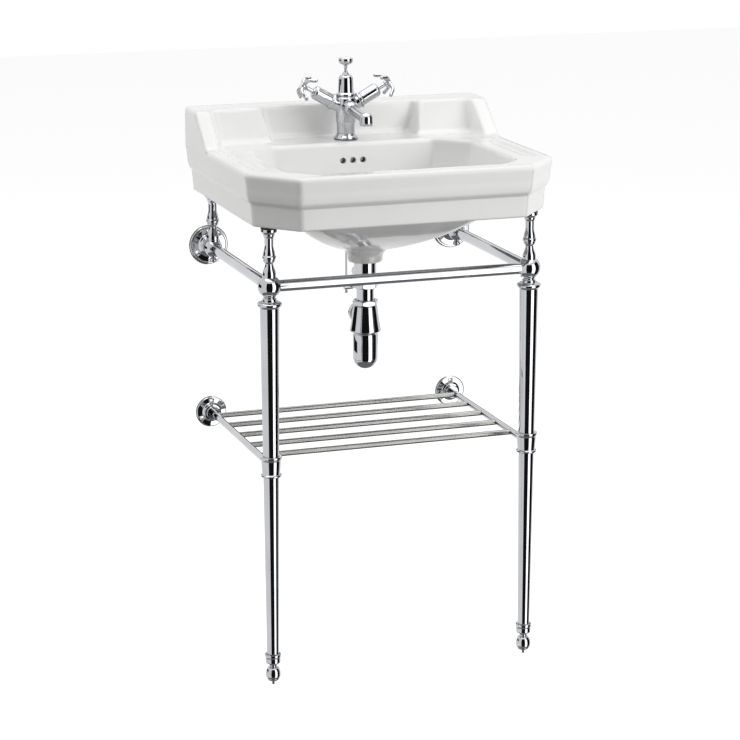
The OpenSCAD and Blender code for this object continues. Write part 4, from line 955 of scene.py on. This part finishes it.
def makeSpout():
    s = spout
    fall = math.radians(s["fall"])
    out = Vector((0, -math.cos(fall), -math.sin(fall)))
    root = Vector((0, tapY, rimZ + s["z"]))
    end = (0, tapY - s["reach"], 0)
    bar = [(s["radius"], s["start"]), (s["radius"], s["reach"] / math.cos(fall))]
    arm = lathe("tapSpoutArm", lathed(bar), root, out, segments=64)
    swell = [(r, h + s["start"]) for r, h in outline(s["rootRows"], s["rootR"], s["rootLen"] - s["start"])]
    join(arm, lathe("swell", lathed(swell), root, out, segments=64))
    low = rimZ + s["outletZ"]
    tall = s["z"] - s["outletZ"] - s["reach"] * math.tan(fall) + s["radius"] + s["outletCap"]
    outlet = [(r, h + low) for r, h in outline(s["outletRows"], s["outletR"], tall)]
    join(arm, lathe("outlet", lathed(outlet), end, segments=64))
    clear = tap["bodyR"] * s["bodySwell"] + s["bodyGap"]
    cut(arm, lathe("clear", lathed([(clear, rimZ), (clear, rimZ + s["clearH"])]), (0, tapY, 0)))
    melt(arm, tap["voxel"], tap["passes"])
    cut(arm, lathe("bore", lathed([(r, low + h) for r, h in s["bore"]]), end, segments=64))
    chromed(arm, "tap_spout")


def makeOutletDisc():
    # perforated outlet disc with a knurled rim
    d = outletDisc
    low = nodeBox("spout_aerator")[0].z
    y = tapY - spout["reach"]

    def knurl(r, h, turn):
        onRim = r > d["knurlR"] and h < d["knurlTop"]
        return r - (d["knurlDepth"] if onRim and math.sin(turn * d["knurls"]) > 0 else 0)

    line = eased(lathed(d["rows"]), fillet=0.15)
    disc = lathe("spoutOutletDisc", line, (0, y, low), segments=160, bulge=knurl)
    for reach, count, bore in d["jets"]:
        for i in range(count):
            turn = 2 * math.pi * i / count
            at = (reach * math.cos(turn), y + reach * math.sin(turn), low - 1)
            cut(disc, lathe("jet", lathed([(bore, 0), (bore, d["jetDepth"])]), at, segments=20))
    place(disc, satin, "chrome", "root", "spout_aerator")


def makeHandle(side, name):
    # turned hub with four prongs that curl back and flick out at their tips
    h = handle
    axis = armAxis(side)
    start = armCentre + axis * (h["out"] - h["hubLen"] / 2)
    u = Vector((0, 1, 0))
    w = axis.cross(u)
    piece = turnedPiece(name + "TapHandle", h["hubRows"], h["hubR"], h["hubLen"], start, axis, 0.3, 64)
    steps = h["curlSteps"]
    path = bezier(*h["curl"], steps)[:-1] + bezier(*h["flick"], len(h["flickR"]) - 1)
    radii = [h["prongR"] - h["prongTaper"] * min(1, i / (steps - 1)) for i in range(steps)] + h["flickR"]
    for i in range(h["prongs"]):
        turn = 2 * math.pi / h["prongs"] * (i + 0.5)
        out = u * math.cos(turn) + w * math.sin(turn)
        bar = [start + out * p.x + axis * p.y for p in path]
        join(piece, tubeAlong("prong", bar, radii, h["prongWidth"]))
    melt(piece, h["voxel"], h["passes"])
    chromed(piece, name + "_handle", name + "_tap")
    seat = armCentre + axis * (h["out"] + h["hubLen"] / 2 - h["buttonSink"])
    line = lathed(outline(h["buttonRows"], h["buttonR"], h["buttonH"]))
    button = lathe(name + "ChinaButton", line, seat, axis, segments=48)
    place(button, china, "china_buttons", name + "_tap", name + "_index")


def makeBonnet(side, name):
    v = valve
    start = armCentre + armAxis(side) * tap["armRoot"]
    line = [(v["tailR"], -v["tailLen"]), (v["tailR"], -v["gap"])]
    line += outline(v["rows"], v["radius"], v["height"])
    line += [(v["bore"], v["height"]), (v["bore"], -v["tailLen"])]
    chromed(ringPiece(name + "ValveBonnet", line, start, armAxis(side)), name + "_bonnet")
    line = eased(lathed(v["spindleRows"]), fillet=0.2)
    spindle = lathe(name + "Spindle", line, armCentre, armAxis(side), segments=48)
    chromed(spindle, name + "_spindle", name + "_tap")


def makeCentre():
    t, c, k = tap, centre, knob
    line = outline(c["rows"], c["radius"], c["height"]) + [(c["bore"], c["height"]), (c["bore"], 0)]
    chromed(ringPiece("centreBonnetDome", line, (0, tapY, rimZ + t["bodyTop"])), "centre_bonnet")
    tall = t["skirtTop"] - t["gasketT"]
    line = outline(t["skirtRows"], t["skirtR"], tall) + [(t["skirtBore"], tall), (t["skirtBore"], 0)]
    chromed(ringPiece("tapSkirt", line, (0, tapY, rimZ + t["gasketT"]), fillet=0.3), "tap_base")
    low, high = nodeBox("lift_knob")
    tall = high.z - low.z
    line = [(0, 0)] + outline(k["rows"], k["radius"], tall) + [(0, k["dish"] * tall)]
    chromed(lathe("popUpKnob", eased(line, fillet=0.3), (0, tapY, low.z)), "lift_knob", "lift")
    low, high = nodeBox("knob_index")
    dome = lathed(outline(k["chinaRows"], k["chinaR"], high.z - low.z))
    place(lathe("knobChinaTop", dome, (0, tapY, low.z)), china, "china_buttons", "lift", "knob_index")


makeTapBody()
makeSpout()
makeOutletDisc()
makeCentre()
for side, name in sides:
    makeBonnet(side, name)
    makeHandle(side, name)
print("tap done")


# waste and trap, with heights measured from the foot or top of their own nodes

waste = dict(
    bore=16.15, tailRows=[(17.6, 0), (17.6, 9.4), (20.25, 10.4)],
    flangeRows=[(20.25, -5.6), (30.2, -4.2), (32.4, -1.0), (32.0, 0), (22.2, 0), (17.4, -3.6), (16.15, -7)],
    portRows=[(9.6, 16.8), (9.6, 45.2), (7.2, 45.2), (7.2, 31), (6.8, 31), (6.8, 16.8)],
    neckR=6.8, neckLen=24, slotY=3, slotX=(12, 24), slotZ=(-36.5, -16.5),
)
plug = dict(
    radius=21, headH=6, rise=3.4, rows=[(14.6, 0), (20.2, 1.1), (21, 1.8), (21, 2.6)], stemR=6.5,
    finFrom=5, finHalf=1, fins=((-24, 13.5), (-22, 15.4), (0.6, 15.4)), eyeR=3.8, eyeHalf=9,
    sealRows=[(15.2, -0.9), (17.2, -0.9), (18.3, 0.2), (15.2, -0.1)],
)
hexNuts = dict(
    corner=24.3, bore=16.15, seatR=17.75, inletSeat=9, trapSeat=8, steps=5,
    faceIn=0.4, slope=1.6,  # how far an end face stands in from the flats, and how fast the chamfer spreads
)
pipe = dict(radius=16, bore=14.8)
hood = dict(
    radius=28.8, bossZ=28,
    rows=[(0.86, 0), (0.9, 0.008), (0.93, 0.02), (0.985, 0.04), (1, 0.058), (0.985, 0.075), (0.9, 0.32),
          (0.77, 0.76), (0.74, 0.84, "ogee"), (0.665, 0.862), (0.611, 0.866), (0.611, 1)],
    boreRows=[(16.15, 44), (19, 44), (19, 14), (22.75, 14), (22.75, 0)],
    bossRows=[(19.4, 17), (17.6, 22), (17.4, 24), (17.4, 34),
              (16.15, 34), (16.15, 26), (14.8, 26), (14.8, 17)], bossBore=(10, 30),
)
bottle = dict(
    radius=22.6, wall=2, ballDrop=58, lip=0.4, step=5,
    beadRows=[(0, -15.5), (-0.5, -15), (0, -14.5), (0, -0.5)],
)
outletNut = dict(
    radius=19.2, bore=16.15, seatRows=[(16.15, 5.75), (17.55, 5.75), (17.55, 0)],
    rows=[(0.9, 0), (0.97, 0.03), (1, 0.1), (1, 0.84, "round"), (0.93, 1)],
    grips=24, gripDepth=0.35, gripR=19, gripFrom=2, gripTo=11,
)
glandNut = dict(
    radius=11.7, bore=5.6, seatRows=[(5.6, 18.35), (9.75, 18.35), (9.75, 0)],
    rows=[(0.92, 0), (0.97, 0.02), (1, 0.08), (1, 0.14), (0.94, 0.17), (0.94, 0.68, "round"),
          (0.72, 0.98), (0.7, 1)],
)


def hexNut(name, node, seatH, flip):
    # hexagon with chamfered corners and a stepped bore
    n = hexNuts
    low, high = nodeBox(node)
    height, corner, bore, seat, steps = high.z - low.z, n["corner"], n["bore"], n["seatR"], n["steps"]
    flat = corner * math.cos(math.pi / 6)
    chamfer, face = corner - flat, flat - n["faceIn"]

    def edges(r, h, turn):
        if r < face:
            return r
        across = flat / math.cos((turn % (math.pi / 3)) - math.pi / 6)
        edge = min(h, height - h)
        return min(across, flat + edge * n["slope"] - n["faceIn"]) if edge < chamfer else across

    rows = [(face, 0)] + [(corner, chamfer * k / steps) for k in range(1, steps + 1)]
    rows += [(corner, height - chamfer * (steps - k) / steps) for k in range(steps)] + [(face, height)]
    if flip:
        rows += [(seat, height), (seat, height - seatH), (bore, height - seatH), (bore, 0)]
    else:
        rows += [(bore, height), (bore, seatH), (seat, seatH), (seat, 0)]
    chromed(lathe(name, rows, (0, wasteY, low.z), closed=True, segments=144, bulge=edges), node)


def makeWaste():
    w = waste
    low, high = nodeBox("waste_body")
    port = (0, wasteY, pivotZ)
    line = [(r, low.z + h) for r, h in w["tailRows"]] + [(r, high.z + h) for r, h in w["flangeRows"]]
    body = ringPiece("wasteFitting", line + [(w["bore"], low.z)], (0, wasteY, 0))
    join(body, ringPiece("port", w["portRows"], port, (0, 1, 0), fillet=0.2, segments=64))
    neck = lathed([(w["neckR"], 0), (w["neckR"], w["neckLen"])])
    cut(body, lathe("neck", neck, port, (0, 1, 0), segments=48))
    near, far = w["slotX"]
    foot, top = (high.z + z for z in w["slotZ"])
    for across in ((-far, -near), (near, far)):
        corners = ((-w["slotY"], foot), (w["slotY"], foot), (w["slotY"], top), (-w["slotY"], top))
        cut(body, loft("slot", [[Vector((x, wasteY + y, z)) for y, z in corners] for x in across]))
    body.data.shade_smooth()
    chromed(body, "waste_body")


def makePlug():
    # shallow dome with a sealing ring, on a finned stem
    p = plug
    low, high = nodeBox("waste_plug")
    head = high.z - p["headH"]
    dome = [(r, head + h) for r, h in p["rows"]]
    edge = head + p["rows"][-1][1]
    dome += [(p["radius"] * math.cos(a), edge + p["rise"] * math.sin(a)) for a in quarterSteps(10)[1:-1]]
    piece = lathe("popUpPlug", eased([(0, head)] + dome + [(0, high.z)], fillet=0.3), (0, wasteY, 0))
    join(piece, rod("stem", p["stemR"], (0, wasteY, low.z), (0, wasteY, head + 1), 0.4))
    start, half = p["finFrom"], p["finHalf"]
    for i in range(4):
        turn = math.radians(45 + 90 * i)
        out = Vector((math.cos(turn), math.sin(turn), 0))
        across = Vector((-out.y, out.x, 0))
        rings = []
        for up, reach in p["fins"]:
            corners = ((start, -half), (reach, -half), (reach, half), (start, half))
            rings.append([Vector((0, wasteY, head + up)) + out * a + across * b for a, b in corners])
        join(piece, loft("fin", rings))
    cut(piece, rod("eye", p["eyeR"], (0, wasteY - p["eyeHalf"], pivotZ), (0, wasteY + p["eyeHalf"], pivotZ)))
    piece.data.shade_smooth()
    chromed(piece, "waste_plug", "plug")
    seal = [(r, head + h) for r, h in p["sealRows"]]
    place(ringPiece("plugSealRing", seal, (0, wasteY, 0), fillet=0.3), rubber, "rubber", "plug")


def makeHood():
    h = hood
    low, high = nodeBox("trap_hood")
    tall = high.z - low.z
    line = outline(h["rows"], h["radius"], tall) + [(h["boreRows"][0][0], tall)] + h["boreRows"]
    piece = ringPiece("trapHoodCone", line, (0, wasteY, low.z), fillet=0.5, segments=128)
    at = (0, wasteY, low.z + h["bossZ"])
    join(piece, ringPiece("outletBoss", h["bossRows"], at, (0, 1, 0), fillet=0.3))
    start, end = ((0, wasteY + out, at[2]) for out in h["bossBore"])
    cut(piece, rod("outletBore", pipe["bore"], start, end))
    piece.data.shade_smooth()
    chromed(piece, "trap_hood")


def makeBottle():
    b = bottle
    top, r = nodeBox("trap_bottle")[1].z, b["radius"]
    middle, inner = top - b["ballDrop"], r - b["wall"]
    turns = [math.radians(a) for a in range(0, 91, b["step"])]
    outside = [(r * math.sin(a), middle - r * math.cos(a)) for a in turns]
    inside = [(inner * math.sin(a), middle - inner * math.cos(a)) for a in reversed(turns)]
    bead = [(r + out, top + up) for out, up in b["beadRows"]]
    line = outside + bead + [(r - b["lip"], top), (inner, top)] + inside
    chromed(lathe("trapBottleCup", line, (0, wasteY, 0), segments=128), "trap_bottle")


def makeSideNut(name, node, n, segments, bulge=None):
    # turned nut on an axis that runs from the wall side
    low, high = nodeBox(node)
    length = high.y - low.y
    line = outline(n["rows"], n["radius"], length) + [(n["bore"], length)] + n["seatRows"]
    at = (0, low.y, nodeAxis(node).z)
    chromed(ringPiece(name, line, at, (0, 1, 0), fillet=0.3, segments=segments, bulge=bulge), node)


def grip(r, h, turn):
    n = outletNut
    depth = n["gripDepth"] * (0.5 - 0.5 * math.cos(turn * n["grips"]))
    return r - (depth if r > n["gripR"] and n["gripFrom"] < h < n["gripTo"] else 0)


def makeTrap():
    hexNut("inletNut", "inlet_nut", hexNuts["inletSeat"], True)
    hexNut("trapNut", "trap_nut", hexNuts["trapSeat"], False)
    low, high = nodeBox("inlet_pipe")
    start, end = (0, wasteY, low.z), (0, wasteY, high.z)
    chromed(rod("inletPipeTube", pipe["radius"], start, end, 0.2, pipe["bore"], 96), "inlet_pipe")
    makeHood()
    makeBottle()
    makeSideNut("outletGripNut", "outlet_nut", outletNut, 192, grip)
    makeSideNut("leverGlandNut", "pivot_nut", glandNut, 96)


linkage = dict(
    pivotOut=38, leverR=2, ballR=7, steps=6, rodR=2, rodTipR=3,
    # the lever's bends, measured from its ball: across, towards the wall and up
    bends=[(0, -42, 0), (0, 12, 0), (0, 18, -1.4), (1.2, 24, -10), (6.2, 45, -33), (7.2, 50, -38.4),
           (7.5, 56, -40), (7.5, 84, -40)],
)


def throughPoints(points, steps):
    # smooth path through all of its points
    smooth = []
    for i, (p, q) in enumerate(zip(points, points[1:])):
        a, b = points[max(i - 1, 0)], points[min(i + 2, len(points) - 1)]
        for t in (k / steps for k in range(steps)):
            chord = (2 * p) + (q - a) * t
            bow = (2 * a - 5 * p + 4 * q - b) * t * t
            smooth.append(0.5 * (chord + bow + (3 * p - a - 3 * q + b) * t ** 3))
    return smooth + [points[-1]]


def makeLever():
    k = linkage
    pivot = Vector((0, wasteY + k["pivotOut"], pivotZ))
    path = throughPoints([pivot + Vector(bend) for bend in k["bends"]], k["steps"])
    curve = bpy.data.curves.new("popUpLever", "CURVE")
    curve.dimensions = "3D"
    curve.bevel_depth = k["leverR"] * mm
    curve.bevel_resolution = 6
    curve.use_fill_caps = True
    spline = curve.splines.new("POLY")
    spline.points.add(len(path) - 1)
    for point, at in zip(spline.points, path):
        point.co = (*(at * mm), 1)
    wire = linked(bpy.data.objects.new("popUpLever", curve))
    lever = linked(bpy.data.objects.new("popUpLeverBar", bpy.data.meshes.new_from_object(wire)))
    bpy.data.objects.remove(wire)
    lever.data.shade_smooth()
    chromed(lever, "pivot_rod", "lever")
    turns = [math.pi * i / 24 for i in range(25)]
    line = [(k["ballR"] * math.sin(a), -k["ballR"] * math.cos(a)) for a in turns]
    ball = lathe("leverBall", line, pivot, (0, 1, 0), segments=48)
    place(ball, china, "china_buttons", "lever")


def makeLiftRod():
    tip, r = linkage["rodTipR"], linkage["rodR"]
    low, high = nodeBox("lift_rod")
    turns = [math.pi * i / 16 for i in range(1, 12)]
    ball = [(tip * math.sin(a), low.z + tip - tip * math.cos(a)) for a in turns]
    line = [(0, low.z)] + ball + [(r, low.z + 2 * tip), (r, high.z), (0, high.z)]
    chromed(lathe("liftRodBar", eased(line, fillet=0.1), (0, tapY, 0), segments=40), "lift_rod", "lift")


makeWaste()
makePlug()
makeTrap()
makeLever()
makeLiftRod()
print("waste done")

# CAD nodes whose shape is right keep their own mesh
keptNodes = {
    "tap_gasket": (rubber, "rubber"), "waste_seal": (rubber, "rubber"), "bottle_seal": (rubber, "rubber"),
    "waste_nut": (brass, "brass"), "tap_fixings": (brass, "brass"), "rod_connector": (chrome, "chrome"),
    "shelf_bars": (satin, "chrome"),
}
for node, (material, slot) in keptNodes.items():
    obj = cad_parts[node]
    obj.data.materials.clear()
    obj.data.materials.append(material)
print("CAD nodes dressed")


# studio: white surround for the eye and for metal, soft lamps, and dark boards for the chrome to show

studio = dict(
    middle=(0, 0, 0.5), ambient=0.35, floorShade=0.45, floorLift=0.8, floorSize=9000,
    boardRadius=4.2, boardSteps=12,
    # name, then start, end, foot, top and strength of each upright board, in degrees and metres
    boards=[("darkBoard", -47, 13.5, -3.4, 4.0, 0.01), ("lightBoard", 13.5, 46, -3.4, 4.0, 2.4),
            ("sideDarkBoard", 46, 98, -3.4, 4.0, 0.01), ("rearDarkBoard", 130, 186, -0.03, 1.3, 0.01),
            ("leftDarkBoard", 214, 262, -0.03, 1.3, 0.01)],
    # name, height, radius and strength
    discs=[("overBoard", 3.4, 1.9, 2.6), ("underBoard", -3.3, 4.1, 0.2)],
    # name, azimuth, elevation, distance, size and power
    lamps=[("keyLamp", 50, 22, 3.4, 2.0, 65), ("topLamp", 4, 74, 3.0, 2.4, 21),
           ("rearLamp", -128, 34, 3.4, 1.8, 31), ("sideLamp", -98, 52, 3.2, 2.4, 14)],
)


def direction(azimuth, elevation):
    a, e = math.radians(azimuth), math.radians(elevation)
    return Vector((math.sin(a) * math.cos(e), -math.cos(a) * math.cos(e), math.sin(e)))


def aim(obj, target, azimuth, elevation, distance):
    obj.location = target + direction(azimuth, elevation) * distance
    obj.rotation_euler = (target - obj.location).to_track_quat("-Z", "Y").to_euler()


def mathNode(nodes, links, operation, first, second, clamp=False):
    # a number as second is typed in, and a socket is linked
    node = nodes.new("ShaderNodeMath")
    node.operation = operation
    node.use_clamp = clamp
    links.new(first, node.inputs[0])
    if isinstance(second, float):
        node.inputs[1].default_value = second
    else:
        links.new(second, node.inputs[1])
    return node.outputs[0]


def makeWorld():
    world = bpy.data.worlds.new("studioWorld")
    bpy.context.scene.world = world
    world.use_nodes = True
    nodes, links = world.node_tree.nodes, world.node_tree.links
    nodes.clear()
    path = nodes.new("ShaderNodeLightPath")
    seen = mathNode(nodes, links, "ADD", path.outputs["Is Camera Ray"], path.outputs["Is Glossy Ray"])
    seen = mathNode(nodes, links, "ADD", seen, path.outputs["Is Transmission Ray"], clamp=True)
    level = nodes.new("ShaderNodeMapRange")
    level.inputs["To Min"].default_value = studio["ambient"]
    level.inputs["To Max"].default_value = 1
    links.new(seen, level.inputs["Value"])
    back = nodes.new("ShaderNodeBackground")
    back.inputs["Color"].default_value = (1, 1, 1, 1)
    links.new(level.outputs["Result"], back.inputs["Strength"])
    out = nodes.new("ShaderNodeOutputWorld")
    links.new(back.outputs[0], out.inputs["Surface"])


def makeFloor():
    size, shade = studio["floorSize"], studio["floorShade"]
    corners = [(-size, -size, 0), (size, -size, 0), (size, size, 0), (-size, size, 0)]
    floor = newPiece("studioFloor", corners, [(0, 1, 2, 3)])
    mat, nodes, links, shader = newMaterial("paleFloor", dict(specular=0))
    tone = noise(nodes, links, 1.2, 2)
    colour = ramp(nodes, links, tone.outputs["Fac"], [shade] * 3, [shade * 1.01] * 3)
    links.new(colour.outputs["Color"], shader.inputs["Base Color"])
    shader.inputs["Roughness"].default_value = 0.9
    path = nodes.new("ShaderNodeLightPath")
    lift = mathNode(nodes, links, "MULTIPLY", path.outputs["Is Camera Ray"], studio["floorLift"])
    shader.inputs["Emission Color"].default_value = (1, 1, 1, 1)
    links.new(lift, shader.inputs["Emission Strength"])
    floor.data.materials.append(mat)
    floor.visible_glossy = False


def makeBoard(name, verts, faces, strength):
    # card that only reflections see
    board = newPiece(name, verts, faces)
    mat = bpy.data.materials.new(name + "Card")
    mat.use_nodes = True
    nodes, links = mat.node_tree.nodes, mat.node_tree.links
    nodes.clear()
    glow = nodes.new("ShaderNodeEmission")
    glow.inputs["Strength"].default_value = strength
    out = nodes.new("ShaderNodeOutputMaterial")
    links.new(glow.outputs[0], out.inputs["Surface"])
    board.data.materials.append(mat)
    board.visible_camera = False
    board.visible_diffuse = False
    board.visible_shadow = False


def makeArcBoard(name, start, end, low, high, strength):
    steps = studio["boardSteps"]
    verts = []
    for i in range(steps + 1):
        out = direction(start + (end - start) * i / steps, 0) * studio["boardRadius"]
        verts += [(out + Vector((0, 0, low))) / mm, (out + Vector((0, 0, high))) / mm]
    faces = [(2 * i, 2 * i + 2, 2 * i + 3, 2 * i + 1) for i in range(steps)]
    makeBoard(name, verts, faces, strength)


def makeDiscBoard(name, up, r, strength):
    ring = [(direction(15 * k, 0) * r + Vector((0, 0, up))) / mm for k in range(24)]
    makeBoard(name, ring, [tuple(range(24))], strength)


def makeLamp(name, azimuth, elevation, distance, size, power):
    light = bpy.data.lights.new(name, "AREA")
    light.shape = "RECTANGLE"
    light.size = light.size_y = size
    light.energy = power
    lamp = linked(bpy.data.objects.new(name, light))
    aim(lamp, Vector(studio["middle"]), azimuth, elevation, distance)
    lamp.visible_glossy = False
    lamp.visible_camera = False


makeWorld()
makeFloor()
for board in studio["boards"]:
    makeArcBoard(*board)
for disc in studio["discs"]:
    makeDiscBoard(*disc)
for lamp in studio["lamps"]:
    makeLamp(*lamp)

# camera at the photograph's angle
view = dict(azimuth=-19.12, elevation=14.15, distance=4.5, target=(-0.0047, 0, 0.5177), lens=121.1, sensor=36)
camera = linked(bpy.data.objects.new("photoCamera", bpy.data.cameras.new("photoCamera")))
aim(camera, Vector(view["target"]), view["azimuth"], view["elevation"], view["distance"])
camera.data.lens = view["lens"]
camera.data.sensor_width = view["sensor"]
bpy.context.scene.camera = camera
bpy.context.scene.view_settings.view_transform = "Standard"
print("studio done")
